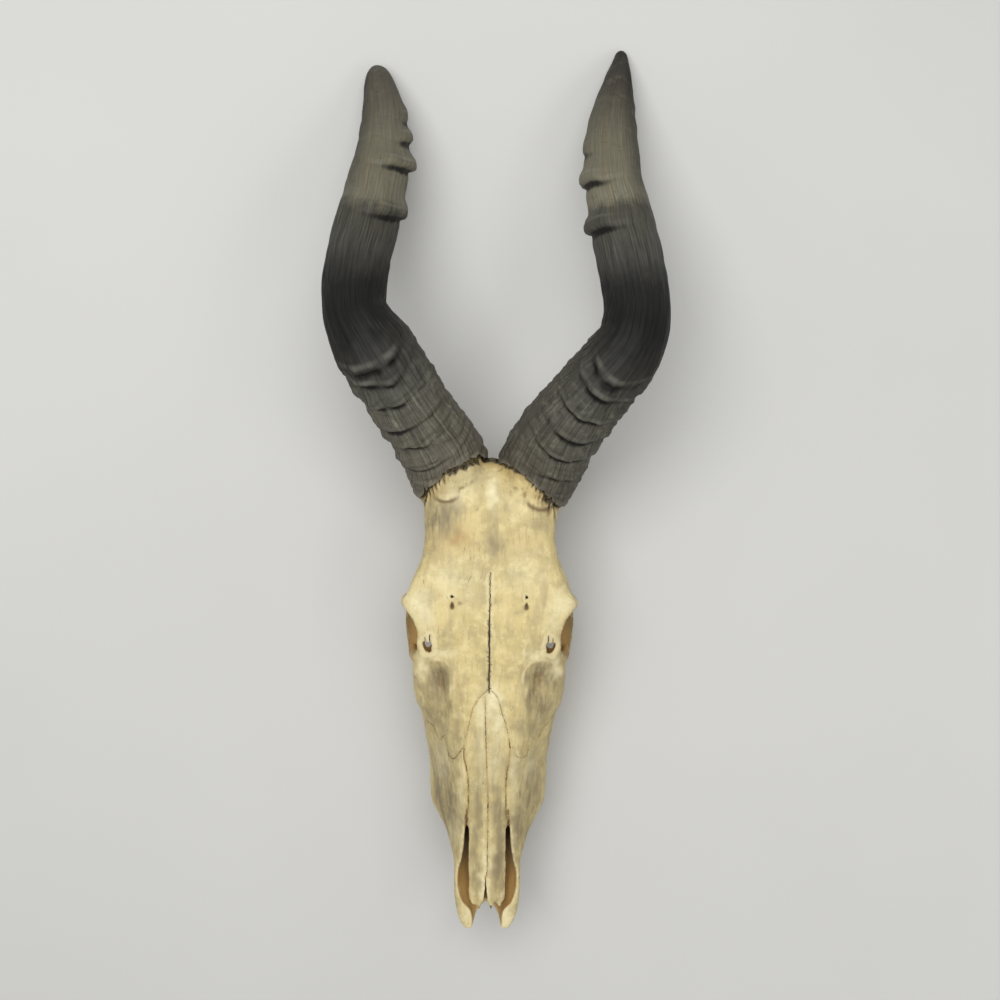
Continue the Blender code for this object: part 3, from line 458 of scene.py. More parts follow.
def waves(points, size, seed, count=14):
    """Soft irregular relief between about -1 and 1, with bumps of the given size."""
    random = np.random.default_rng(seed)
    directions = unit(random.normal(size=(count, points.shape[1])))
    rates = 2 * math.pi / size * random.uniform(0.6, 1.5, count)
    phases = random.uniform(0, 2 * math.pi, count)
    total = np.zeros(len(points))
    for direction, rate, phase in zip(directions, rates, phases):
        total += np.sin(points @ direction * rate + phase)
    return total / math.sqrt(count) / 1.4


def mesh_object(name, vertices, faces):
    """A mesh object from points in millimetres."""
    mesh = bpy.data.meshes.new(name)
    mesh.from_pydata((np.asarray(vertices, dtype=float) * MM).tolist(), [], faces)
    mesh.update()
    obj = bpy.data.objects.new(name, mesh)
    bpy.context.scene.collection.objects.link(obj)
    return obj


def vectors_of(layer, key):
    """The three numbers that each row of a mesh's layer holds."""
    found = np.empty(len(layer) * 3, dtype=np.float32)
    layer.foreach_get(key, found)
    return found.reshape(-1, 3).astype(float)


def points_of(obj):
    """The object's vertices in millimetres."""
    return vectors_of(obj.data.vertices, "co") / MM


def normals_of(obj):
    return vectors_of(obj.data.vertex_normals, "vector")


def move_points(obj, points):
    obj.data.vertices.foreach_set("co", (points * MM).astype(np.float32).ravel())
    obj.data.update()


def turn_outward(obj):
    shape = bmesh.new()
    shape.from_mesh(obj.data)
    bmesh.ops.recalc_face_normals(shape, faces=shape.faces)
    if shape.calc_volume(signed=True) < 0:
        bmesh.ops.reverse_faces(shape, faces=shape.faces)
    shape.to_mesh(obj.data)
    shape.free()
    return obj


def loft(name, rings):
    """A closed solid through rings that all have the same number of points, capped at both ends."""
    count = len(rings[0])
    last = (len(rings) - 1) * count
    here = np.arange(last)
    beside = here - here % count + (here + 1) % count
    faces = np.vstack([
        np.column_stack([here, beside, beside + count]),
        np.column_stack([here, beside + count, here + count]),
    ]).tolist()
    first_cap = last + count
    for point in range(count):
        after = (point + 1) % count
        faces.append((after, point, first_cap))
        faces.append((last + point, last + after, first_cap + 1))
    vertices = np.vstack([*rings, np.mean(rings[0], axis=0), np.mean(rings[-1], axis=0)])
    return turn_outward(mesh_object(name, vertices, faces))


def mirrored(points, side):
    return [(side * point[0], *point[1:]) for point in points]


def rod(name, points, sides=28, steps=8):
    """A rod of bone with an oval section, its half width along x and its half height across it."""
    path = smooth_path(points, steps)
    tangents = np.gradient(path[:, :3], axis=0)
    turn = np.linspace(0, 2 * math.pi, sides, endpoint=False)[:, None]
    rings = []
    for row, tangent in zip(path, tangents):
        tangent = tangent / np.linalg.norm(tangent)
        sideways = np.array([1.0, 0.0, 0.0]) - tangent * tangent[0]
        sideways /= np.linalg.norm(sideways)
        upright = np.cross(sideways, tangent)
        rings.append(row[:3] + row[3] * np.cos(turn) * sideways + row[4] * np.sin(turn) * upright)
    return loft(name, rings)


def ellipsoid(name, mass, side=1, detail=4):
    bpy.ops.mesh.primitive_ico_sphere_add(subdivisions=detail, radius=1)
    obj = bpy.context.object
    obj.name = name
    middle = np.array(mass.center, dtype=float) * (side, 1, 1)
    move_points(obj, points_of(obj) * MM * np.array(mass.radii) + middle)
    return obj


def depth_in(mass, points, side=1):
    """0 in the middle of a rounded mass or hollow, 1 on its surface and more outside."""
    away = (points - np.array(mass.center) * (side, 1, 1)) / mass.radii
    return np.sqrt((away**2).sum(axis=1))


def modify(obj, kind, **settings):
    """Changes the object's mesh with one modifier."""
    modifier = obj.modifiers.new(kind, kind)
    for key, value in settings.items():
        setattr(modifier, key, value)
    depsgraph = bpy.context.evaluated_depsgraph_get()
    mesh = bpy.data.meshes.new_from_object(obj.evaluated_get(depsgraph))
    obj.modifiers.clear()
    old = obj.data
    obj.data = mesh
    bpy.data.meshes.remove(old)


def join(name, objects):
    """One object from several. Their shells may still pass through each other."""
    vertices = []
    faces = []
    start = 0
    for obj in objects:
        vertices.append(points_of(obj))
        faces.extend(tuple(start + index for index in face.vertices) for face in obj.data.polygons)
        start += len(obj.data.vertices)
        bpy.data.objects.remove(obj, do_unlink=True)
    return mesh_object(name, np.vstack(vertices), faces)


def one_skin(name, objects, voxel=COARSE_VOXEL):
    """One even skin round all the shells of the objects."""
    obj = join(name, objects)
    modify(obj, "REMESH", mode="VOXEL", voxel_size=voxel * MM, adaptivity=0.0)
    return obj


def soften(obj, times):
    modify(obj, "SMOOTH", factor=0.5, iterations=times)


def cut(obj, other):
    """Cuts other from obj, and removes other."""
    modify(obj, "BOOLEAN", object=other, operation="DIFFERENCE", solver="MANIFOLD")
    bpy.data.objects.remove(other, do_unlink=True)


def upright_ring(y, outline, side=1):
    """Points of an outline (x, z) that stands across the head at y."""
    return np.column_stack([side * outline[:, 0], np.full(len(outline), y), outline[:, 1]])


def even_ring(y, top, flank, bottom, count):
    """A smooth outline across the head at y with two like halves, from the height of its top, its flank as
    (x, z) and the height of its bottom."""
    other_flank = [(-x, z) for x, z in reversed(flank)]
    return upright_ring(y, smooth_loop([(0, top), *flank, (0, bottom), *other_flank], count))


def head_block():
    """Forehead, cheeks and snout as one solid block."""
    rings = []
    for y, top, *flank, bottom in smooth_path(HEAD, LONG_STEPS):
        rings.append(even_ring(y, top, list(zip(flank[::2], flank[1::2])), bottom, HEAD_POINTS))
    return loft("head block", rings)


def nasal_passage():
    rings = []
    for y, upper, middle, lower, low, rim, high in smooth_path(NASAL_PASSAGE, LONG_STEPS):
        flank = [
            (upper, high - 3),
            (upper, (rim + high) / 2),
            (upper, rim),
            (middle, (rim + low) / 2),
            (lower, low + 0.12 * (rim - low)),
        ]
        rings.append(even_ring(y, high, flank, low, PASSAGE_POINTS))
    return loft("nasal passage", rings)


def nasal_bones():
    """The arched roof of the snout."""
    rings = []
    across = np.linspace(-1, 1, 25)
    for y, half_width, top, drop, thickness in smooth_path(NASALS, 8):
        upper = np.column_stack([across * half_width, np.full(len(across), y), top - drop * across**2])
        rings.append(np.vstack([upper, upper[::-1] * (0.97, 1, 1) - (0, 0, thickness)]))
    return loft("nasal bones", rings)


def nasal_point(x, y):
    """One of the small points in which the nasal bones end."""
    root = NASALS[-1]
    path = (
        (x * 0.9, root.y + 8, root.top - 1, 5, 1.9),
        (x * 0.97, root.y, root.top - 2.5, 3.6, 1.8),
        (x, y, root.top - 4, 1.6, 1.4),
    )
    return rod("nasal point", path, sides=16, steps=4)


def chewing_height(y):
    """Height of the chewing surface: on the floor under the hind lobe of the last molar, then rising."""
    flat_end = ROW_BACK_Y - TEETH[0].length / 2
    return np.maximum(0.0, (flat_end - y) * math.tan(ROW_SLOPE))


def tooth_row_x(y):
    """Distance of the tooth row's middle from the middle plane."""
    along = (ROW_BACK_Y - y) / TOOTH_ROW_LENGTH
    molars = MOLAR_SPACING / 2
    narrowing = max(0.0, along - 0.35) / 0.65
    return molars + (PREMOLAR_SPACING / 2 - molars) * narrowing - 1.5 * (1 - along) ** 4


def alveolar_ridge(side):
    """The bar of jaw bone that holds one row of teeth."""
    rings = []
    front_y = ROW_BACK_Y - TOOTH_ROW_LENGTH - RIDGE_END
    for y in np.linspace(ROW_BACK_Y + RIDGE_END / 2, front_y, 40):
        x = tooth_row_x(y)
        foot = chewing_height(y) + CROWN_HEIGHT
        half = RIDGE_HALF_WIDTH - RIDGE_NARROWING * max(0.0, (ROW_BACK_Y - y) / TOOTH_ROW_LENGTH)
        peak = foot + RIDGE_HEIGHT
        bulge = (x + half + RIDGE_BULGE, (foot + peak) / 2)
        corners = [(x - half, foot), (x + half, foot), bulge, (x + half, peak), (x - half, peak)]
        rings.append(upright_ring(y, smooth_loop(corners, 40), side))
    return loft("alveolar ridge", rings)


class Horn:
    """The surface of one horn, by the distance along its centre line and the angle round it in degrees."""

    def __init__(self, stations, rings, rim, gaps, notches, tone, seed):
        path = smooth_path(stations, 12)
        self.centers = path[:, :3]
        self.half_widths = path[:, 3]
        self.along = lengths_along(self.centers)
        self.length = float(self.along[-1])
        self.tangents = unit(np.gradient(self.centers, self.along, axis=0))
        self.sides = unit(np.cross(self.tangents, [0.0, 0.0, 1.0]))
        self.fronts = np.cross(self.sides, self.tangents)
        self.rings = rings
        self.rim = np.array(rim, dtype=float)
        self.gaps = gaps
        self.notches = notches
        self.tone = tone
        self.seed = seed

    def at(self, table, distance):
        return np.stack([np.interp(distance, self.along, table[:, axis]) for axis in range(3)], axis=-1)

    def center(self, distance):
        """The middle of the horn. Before the base the horn goes straight on."""
        inside = np.maximum(distance, 0.0)
        return self.at(self.centers, inside) + self.at(self.tangents, inside) * (distance - inside)[..., None]

    def rim_shift(self, angle):
        return np.interp(angle, self.rim[:, 0], self.rim[:, 1], period=360)

    def ring_shift(self, ring, angle):
        return ring.slant * (1 - np.sin(np.radians(angle)))

    def ring_shapes(self, distance, angle):
        """Each ring, whether it is one near the base, how far each place is past its crest, how strong the
        ring is there, and the place's angle from the side that the ring faces."""
        spots = circle(angle)
        for number, ring in enumerate(self.rings):
            low = ring.at < RINGED_LENGTH
            waver = waves(spots, 1.3, self.seed + number) + 0.12 * waves(spots, 0.4, self.seed + 20 + number)
            away = distance - ring.at - self.ring_shift(ring, angle) - 1.6 * waver.reshape(angle.shape)
            facing = (angle - ring.facing + 180) % 360 - 180
            fade = 0.5 + 0.5 * np.cos(math.pi * np.minimum(1.0, np.abs(facing) / ring.reach))
            uneven = waves(spots + 5, 0.55, self.seed + 40 + number).reshape(angle.shape)
            wildness = LOW_RING_WILDNESS if low else HIGH_RING_WILDNESS
            yield ring, low, away, fade * np.clip(1 + wildness * uneven, 0.3, 1.5), facing

    def ridge(self, distance, angle):
        """How far the growth rings stand out: sharp towards the base, gentle towards the tip."""
        height = np.zeros(angle.shape)
        for ring, _, away, fade, _ in self.ring_shapes(distance, angle):
            bump = bell(away, np.where(away > 0, RING_GENTLE_SIDE, ring.spread))
            height += ring.height * np.tanh(RING_ROUNDNESS * bump) / math.tanh(RING_ROUNDNESS) * fade
        return height

    def crease(self, distance, angle):
        """How far a place lies under a ring's crest, from 0 to 1. It presses the relief in, and it is painted
        into the horn's colour as shadow.
        """
        depth = np.zeros(angle.shape)
        for ring, low, away, fade, facing in self.ring_shapes(distance, angle):
            below = away + (1.5 if low else 1.7) * ring.spread
            reach = ring.spread * np.where(below > 0, 0.6, 1.2 if low else 1.3)
            open_side = 0.12 + 0.88 * bell(facing, 46) if low else 1.1 * bell(facing, 95)
            shade = bell(below, reach) * np.clip(fade, 0, 1) * open_side * min(1.0, ring.height / 3)
            depth = np.maximum(depth, shade)
        return depth

    def crest(self, distance, angle):
        """Where a highlight is painted on the rings: 1 on the foremost edge of each ring, 0 away from it."""
        light = np.zeros(angle.shape)
        for ring, low, away, fade, facing in self.ring_shapes(distance, angle):
            line = bell(away - (0.6 if low else 5.5), 2.4) * np.clip(fade, 0, 1) * bell(facing, 75)
            light = np.maximum(light, line * min(1.0, ring.height / (5.0 if low else 3.0)))
        return light

    def near_base(self, points, radius):
        """The numbers of the points within the radius of the horn's base, then their distance along the horn,
        angle round it and distance from its middle."""
        close = np.flatnonzero(np.linalg.norm(points - self.centers[0], axis=1) < radius)
        found = points[close]
        places = np.linspace(-40, 90, 261)
        centers = self.center(places)
        squares = (found**2).sum(axis=1)[:, None] - 2 * found @ centers.T + (centers**2).sum(axis=1)
        nearest = squares.argmin(axis=1)
        spot = np.maximum(places, 0.0)[nearest]
        out = found - centers[nearest]
        forward = (out * self.at(self.fronts, spot)).sum(axis=1) / HORN_DEPTH_RATIO
        across = (out * self.at(self.sides, spot)).sum(axis=1)
        angle = np.degrees(np.arctan2(forward, across)) % 360
        return close, places[nearest], angle, np.hypot(across, forward)

    def point(self, distance, angle, rise):
        """The point on the surface, moved out by rise."""
        inside = np.maximum(distance, 0.0)
        radius = np.interp(inside, self.along, self.half_widths) + rise
        turn = np.radians(angle)
        across = self.at(self.sides, inside) * np.cos(turn)[..., None]
        forward = self.at(self.fronts, inside) * (np.sin(turn) * HORN_DEPTH_RATIO)[..., None]
        return self.center(distance) + (across + forward) * radius[..., None]

    def followed(self, distance, angle):
        """The place of a row of points: it follows the rim at the base and the rings' slant further up."""
        guides = [0.0, *(ring.at for ring in self.rings), self.length]
        shifts = [self.rim_shift(angle), *(self.ring_shift(ring, angle) for ring in self.rings), 0.0]
        return distance + np.interp(distance, guides, shifts)


def angle_grid(columns):
    return np.linspace(0, 360, columns, endpoint=False)


def sheath_rows(horn, count):
    """Distances along the horn of the sheath's rows of points: close at the rings, wider between."""
    places = np.linspace(0, horn.length, 4000)
    weight = np.ones_like(places)
    for ring in horn.rings:
        weight += 2.6 * bell(places - ring.at, 5.5)
    weight += 1.5 * bell(places, 8) + 1.5 * bell(horn.length - places, 5)
    total = np.concatenate([[0.0], np.cumsum((weight[1:] + weight[:-1]) / 2)])
    return np.interp(np.linspace(0, total[-1], count), total, places)


def rim_raggedness(horn, angles):
    """The rim's small notches and splinters, in millimetres along the horn."""
    spots = circle(angles)
    soft = 1.7 * waves(spots, 0.5, horn.seed + 90) + 0.5 * waves(spots, 0.09, horn.seed + 92)
    return soft + np.maximum(0.0, waves(spots, 0.16, horn.seed + 91)) ** 2 * 3.2


def wall_thickness(past_rim):
    """Thickness of the sheath's wall by the distance past its rim."""
    grown = smooth_step(past_rim, 0.0, WALL_GROWTH_LENGTH)
    return RIM_WALL + (INNER_WALL - RIM_WALL) * grown + SOCKET_TAPER * np.maximum(0.0, past_rim - 8)


def socket_rings(horn, columns, shares, gap=0.0, back=0.0, ragged=0.0):
    """Rows of the socket, from the rim (share 0) to its end (share 1), or of the core at a gap to it."""
    angles = angle_grid(columns)
    starts = horn.rim_shift(angles)
    rings = []
    for share in shares:
        places = starts + (SHEATH_SOCKET_DEPTH - starts) * share - back
        wall = wall_thickness(places - starts)
        rings.append(horn.point(places + ragged * (1 - share) ** 8, angles, -wall - gap))
    return rings


def horn_sheath(name, horn):
    """The hollow sheath: its outside from rim to tip, with rings and fine ridges along it, and its socket."""
    angles = angle_grid(HORN_COLUMNS)
    rows = sheath_rows(horn, HORN_ROWS)
    places = np.column_stack([horn.followed(rows, angle) for angle in angles])
    ragged = rim_raggedness(horn, angles)
    places += ragged * np.exp(-rows[:, None] / 6.0)
    grid = np.broadcast_to(angles, places.shape)
    turn = np.radians(grid)
    radius = np.interp(np.maximum(places, 0), horn.along, horn.half_widths)
    lengthwise = wrapped(turn, PATTERN_RADIUS, places / 14)
    swell = wrapped(turn, PATTERN_RADIUS, places)
    bands = np.column_stack([places.ravel(), np.cos(turn).ravel() * 3])
    tip_fade = smooth_step(horn.length - places, 4.0, 60.0)
    ringed = smooth_step(places, 190, 140)

    def field(points, size, number):
        return waves(points, size, horn.seed + number).reshape(places.shape)

    ridge = horn.ridge(places, grid)
    rise = ridge + tip_fade * (
        0.5 * field(lengthwise * (1, 1, 0.5), 26, 1)
        + 0.36 * field(lengthwise, 5.5, 2)
        + 0.22 * field(lengthwise * (1, 1, 1.7), 2.6, 3)
        + 0.6 * field(swell, 34, 4)
    )
    low_rings = field(bands, 7, 5) * smooth_step(places, 170, 130)
    knots = field(swell * (1, 1, 1.3), 15, 6) * ringed
    rise += tip_fade * (0.5 * low_rings + 0.85 * knots - 0.5)
    crease = horn.crease(places, grid)
    rise -= 1.1 * crease * tip_fade
    lean = -RING_OVERHANG * np.maximum(0.0, ridge - 0.8) * (0.3 + 0.7 * ringed)
    end = np.clip((horn.length - places) / TIP_ROUNDING, 0.0, 1.0)
    rise -= radius * (1 - np.sqrt(np.maximum(0.03, 1 - (1 - end) ** 2)))
    outside = horn.point(places + lean, grid, np.maximum(rise, -0.85 * radius))
    socket = socket_rings(horn, HORN_COLUMNS, SOCKET_SHARES, ragged=ragged)
    sheath = loft(name, [*socket, *outside])
    inner = np.zeros((len(socket), HORN_COLUMNS))
    levels = np.broadcast_to(rows[:, None], places.shape)

    def whole(inside, values, inner_cap, tip):
        """Numbers for all the vertices: those of the socket, of the outside and of the two caps."""
        return np.concatenate([(inner + inside).ravel(), values.ravel(), [inner_cap, tip]])

    around = whole(turn[0], turn, 0.0, 0.0)
    level = whole(0.0, levels, 0.0, horn.length)
    outer = np.cos(around) * (1 if horn.centers[0][0] > 0 else -1)
    tone = np.interp(level, TONE_PLACES, horn.tone)
    # Painted shade: the outer side of each horn's upper part is darkened, as if turned from the light.
    tone = tone * (1 - 0.5 * smooth_step(outer, 0.2, 0.95) * smooth_step(level, 270, 340))
    return sheath, {
        "along": whole(0.05, levels / horn.length, 0.1, 1.0),
        "crest": whole(0.0, horn.crest(places, grid), 0.0, 0.0),
        # Painted shadow: near black under the rings' crests and all over the inside of the socket.
        "crease": whole(1.0, crease, 1.0, 0.0),
        "grain": wrapped(around, PATTERN_RADIUS, whole(0.0, places, 0.0, horn.length) / 30),
        "growth": wrapped(around, 6, level),
        "tone": tone[:, None] * (1.0, 1.0, 1.0),
    }


def horn_core(horn):
    """The bony core, a little slimmer and shorter than the socket, rooted in the skull."""
    rings = socket_rings(horn, 96, [1.0], gap=CORE_GAP + 3.0, back=3.0)
    rings += socket_rings(horn, 96, CORE_SHARES, gap=CORE_GAP)
    rings += socket_rings(horn, 96, [0.0], gap=CORE_GAP + 3.0, back=14.0)
    return loft("core", rings)


def rim_gap(horn, angles):
    """How far the bone stands back from the sheath's rim at angles round the horn."""
    uneven = waves(circle(angles), 0.25, horn.seed + 93)
    back = SEAT_MARGIN + 0.35 * uneven
    for gap in horn.gaps:
        back += gap.depth * window(angles, gap.start, gap.end, 4) * (1 + 0.35 * uneven)
    row = horn.notches
    comb = np.cos(2 * math.pi * (angles / NOTCH_SPACING + 0.22 * np.sin(np.radians(angles) * 9)))
    depth = row.depth * window(angles, row.start, row.end, 3)
    return back + depth * smooth_step(comb, 0.15, 0.8) * np.clip(0.8 + 0.5 * uneven, 0.2, 1.3)


def horn_seat(horn):
    """What the sheath takes up, with clearance: cut from the bone, it leaves a clean edge under the rim."""
    columns = 360
    angles = angle_grid(columns)
    back = rim_gap(horn, angles)
    rings = socket_rings(horn, columns, [0.0], gap=CORE_GAP + 3.0, back=back)
    rings.append(horn.point(horn.rim_shift(angles) - back, angles, np.full(columns, SEAT_MARGIN)))
    for distance in np.linspace(2.0, 80.0, 27):
        places = np.array([horn.followed(distance, angle) for angle in angles])
        rings.append(horn.point(places, angles, horn.ridge(places, angles) + SEAT_MARGIN))
    return loft("seat", rings)


def horn_collar(horn):
    """The swelling of the frontal bone from which the horn core grows."""
    angles = angle_grid(96)
    ends = horn.rim_shift(angles) + COLLAR_TOP
    rings = []
    for share, inset in smooth_path(COLLAR_PROFILE, 4):
        places = COLLAR_START + (ends - COLLAR_START) * share
        rings.append(horn.point(places, angles, np.full(len(angles), -inset)))
    return loft("collar", rings)


def bone_masses():
    """All the shells whose union is the bone."""
    shells = [head_block(), rod("base", BASE_OF_SKULL)]
    shells += [ellipsoid("braincase", BRAINCASE), ellipsoid("occiput", OCCIPUT)]
    for side, horn in ((1, HORNS["left"]), (-1, HORNS["right"])):
        shells += [rod("bone", mirrored(path, side)) for path in PAIRED_RODS]
        shells += [ellipsoid("mass", mass, side) for mass in PAIRED_MASSES]
        shells += [alveolar_ridge(side), horn_collar(horn)]
    return shells


def bone_hollows():
    hollows = [nasal_passage(), ellipsoid("spinal opening", SPINAL_OPENING), ellipsoid("notch", FRONT_NOTCH)]
    for side in (-1, 1):
        hollows += [ellipsoid("hollow", mass, side) for mass in PAIRED_HOLLOWS]
    return hollows


def thin_bones():
    """Thin bones that go on after the hollows are cut."""
    shells = [nasal_bones(), *(nasal_point(x, y) for x, y in NASAL_POINTS)]
    for side in (-1, 1):
        shells += [rod("rim", mirrored(path, side)) for path in RIM_RODS]
    return shells


def crack_blade():
    """A thin wavy blade that opens the seam between the frontal bones."""
    path = smooth_path(MIDLINE_CRACK, 24)
    waver = 0.4 * waves(path, 5, 71)
    share = np.linspace(0, 1, len(path))
    half = 0.66 * np.sin(math.pi * np.clip(share, 0.02, 0.98)) ** 0.4 + 0.24 * waves(path, 6, 72)
    rings = []
    for (x, y), shift, width in zip(path, waver, np.maximum(half, 0.3)):
        ring = [(x - width, 142), (x + width, 142), (x + 0.2, 133.2), (x - 0.2, 133.2)]
        rings.append([(a + shift, y, b) for a, b in ring])
    return loft("crack", rings)


def rim_slot(side):
    """A hole with ragged edges through the front rim of the orbit."""
    corners = np.array(RIM_SLOT) * (side, 1)
    return loft("slot", [np.column_stack([corners, np.full(len(corners), height)]) for height in (104, 140)])


def nasal_wedge():
    """The gap that opens between the two nasal bones towards their ends."""
    path = smooth_path(NASAL_WEDGE, 6)
    rings = []
    for (y, half), waver in zip(path, 0.3 * waves(path, 6, 73)):
        x = NASAL_WEDGE_X + waver
        rings.append([(x - half, y, 122), (x + half, y, 122), (x + half, y, 100), (x - half, y, 100)])
    return loft("wedge", rings)


def tooth_middles():
    """Each tooth of a row, and the y of its middle."""
    y = ROW_BACK_Y
    for tooth in TEETH:
        yield tooth, y - tooth.length / 2
        y -= tooth.length + TOOTH_GAP


def tooth_ring(middle, outline, side, heights):
    """Points of a tooth's outline (across, along) at the given heights."""
    x = side * (tooth_row_x(middle) + outline[:, 0])
    return np.column_stack([x, middle + outline[:, 1], np.broadcast_to(heights, len(outline))])


def tooth_sockets():
    """The sockets of the teeth, cut from the jaw bone a little wider than each root."""
    cutters = []
    for tooth, middle in tooth_middles():
        gum = chewing_height(middle) + CROWN_HEIGHT
        outline = smooth_loop(TOOTH_OUTLINE, 60) * ((tooth.width + 0.9) / 2, (tooth.length + 0.9) / 2)
        for side in (-1, 1):
            ends = (gum - 12, gum + ROOT_DEPTH + 0.6)
            cutters.append(loft("socket", [tooth_ring(middle, outline, side, height) for height in ends]))
    return cutters


def seam_distance(flat, seams, steps=LONG_STEPS):
    """Distance to the nearest seam in a flat view, the same with a sign for the side, and its strength."""
    nearest = np.full(len(flat), 99.0)
    signed = np.full(len(flat), 99.0)
    strength = np.zeros(len(flat))
    for seam_strength, points in seams:
        path = smooth_path(points, steps)
        for start, end in zip(path, path[1:]):
            step = end - start
            share = np.clip((flat - start) @ step / (step @ step), 0, 1)
            away = flat - start - share[:, None] * step
            distance = np.hypot(away[:, 0], away[:, 1])
            side = np.sign(away[:, 0] * step[1] - away[:, 1] * step[0])
            closer = distance < nearest
            nearest[closer] = distance[closer]
            signed[closer] = (distance * np.where(side == 0, 1, side))[closer]
            strength[closer] = seam_strength
    return nearest, signed, strength


def seam_marks(points, normals, up):
    """For seen and side seams together: signed distance, nearness and strength at each point."""
    nearest, signed, strength = seam_distance(points[:, :2], SEAMS)
    side_nearest, side_signed, side_strength = seam_distance(points[:, 1:], SIDE_SEAMS)
    outward = normals[:, 0] * np.sign(points[:, 0])
    facing = smooth_step(outward, 0.5, 0.72) * (np.abs(points[:, 0]) > SIDE_SEAM_INNERMOST)
    near = (1 - smooth_step(nearest, *SEAM_NEARNESS)) * up
    side_near = (1 - smooth_step(side_nearest, *SEAM_NEARNESS)) * facing
    chosen = side_near * side_strength > near * strength
    return (
        np.where(chosen, side_signed, signed),
        np.where(chosen, side_near, near),
        np.where(chosen, side_strength, strength),
    )


def brow_wedge(aside, y):
    """0 in the middle of the three-cornered pit behind each brow hole, 1 at its edge."""
    half_width = 0.7 + 0.38 * np.clip(-91.2 - y, 0, 7.5)
    return np.hypot((aside - 33.5) / half_width, (y + 95.3) / 4.6)


def pleats_at(horn, points):
    """The points close to a horn, how far the bone's small pleats stand out there, and where they are."""
    close, along, angle, reach = horn.near_base(points, 75)
    near = horn.rim_shift(angle) - along
    pleats = waves(np.column_stack([angle / 3.9, along / 16]), 1.9, horn.seed + 60)
    zone = smooth_step(near, -6, 0) * smooth_step(near, 16, 6) * smooth_step(reach, 22, 29)
    row = horn.notches
    beside = smooth_step(angle, row.start - 22, row.start - 8) * smooth_step(angle, row.end, row.end - 12)
    return close, pleats, zone * (0.22 + 0.78 * beside)


def relief(points, normals):
    """How far the bone's surface moves out, in millimetres: seams, pits, pleats and fine unevenness."""
    x, y, z = points.T
    up = smooth_step(normals[:, 2], 0.1, 0.5) * smooth_step(z, 84, 96)
    flank = smooth_step(normals[:, 2], -0.1, 0.3) * smooth_step(z, 84, 96)
    rise = 0.28 * waves(points, 16, 11) + 0.12 * waves(points, 5.5, 12)
    distance, _, strength = seam_distance(points[:, :2], SEAMS)
    rise -= 0.5 * strength * bell(distance, 1.2) * up
    rise += 0.35 * strength * bell(distance - 3.2, 1.8) * up
    for bulge in BULGES:
        reach = np.hypot((x - bulge.x) / bulge.radius_x, (y - bulge.y) / bulge.radius_y)
        rise += 1.5 * (1 - smooth_step(reach, 0.7, 1.02)) * smooth_step(bulge.y - y, -9, 1) * up
    for side in (-1, 1):
        aside = side * x
        medial = aside < 46
        rise -= 0.7 * np.exp(-(((aside - 33.3) / 5.5) ** 2) - (((y + 95) / 8) ** 2)) * up
        width = np.where(medial, 12.0, 15.0)
        pit = np.hypot((aside - 46) / width, (y + 162) / np.where(y > -162, 14.0, 23.0))
        tail = np.hypot((aside - 45) / np.where(medial, 12.0, 14.0), (y + 188) / 34)
        knob = np.hypot((aside - 62) / 6.5, (y + 152) / 12)
        rise -= 4.6 * (1 - smooth_step(pit, 0.1, 1.1)) * flank
        rise -= 2.4 * (1 - smooth_step(tail, 0.4, 1.15)) * flank
        rise += 1.3 * bell(pit - 1.28, 0.2) * smooth_step(y, -178, -160) * flank
        rise += 2.2 * bell(knob, 1) * flank
        rise -= 2.4 * (1 - smooth_step(brow_wedge(aside, y), 0.2, 1.2)) * up
    for horn in HORNS.values():
        close, pleats, zone = pleats_at(horn, points)
        rise[close] += 1.2 * pleats * zone * smooth_step(z[close], 60, 80)
    return rise


def skull_bone():
    bone = one_skin("bone", bone_masses())
    cut(bone, one_skin("hollows", bone_hollows()))
    bone = one_skin("bone", [bone, *thin_bones()])
    soften(bone, 2)
    for horn in HORNS.values():
        cut(bone, horn_seat(horn))
    bone = one_skin("skull", [bone, *(horn_core(horn) for horn in HORNS.values())], FINE_VOXEL)
    soften(bone, 3)
    points = points_of(bone)
    normals = normals_of(bone)
    move_points(bone, points + normals * relief(points, normals)[:, None])
    holes = [ellipsoid("hole", mass, side, detail=3) for mass in PAIRED_HOLES for side in (-1, 1)]
    cut(bone, join("holes", holes[:2]))
    for hole in [*holes[2:], rim_slot(1), rim_slot(-1), crack_blade(), nasal_wedge()]:
        cut(bone, hole)
    cut(bone, join("sockets", tooth_sockets()))
    bone.data.calc_loop_triangles()
    ratio = min(1.0, BONE_TRIANGLES / len(bone.data.loop_triangles))
    modify(bone, "DECIMATE", ratio=ratio, use_collapse_triangulate=True)
    return bone


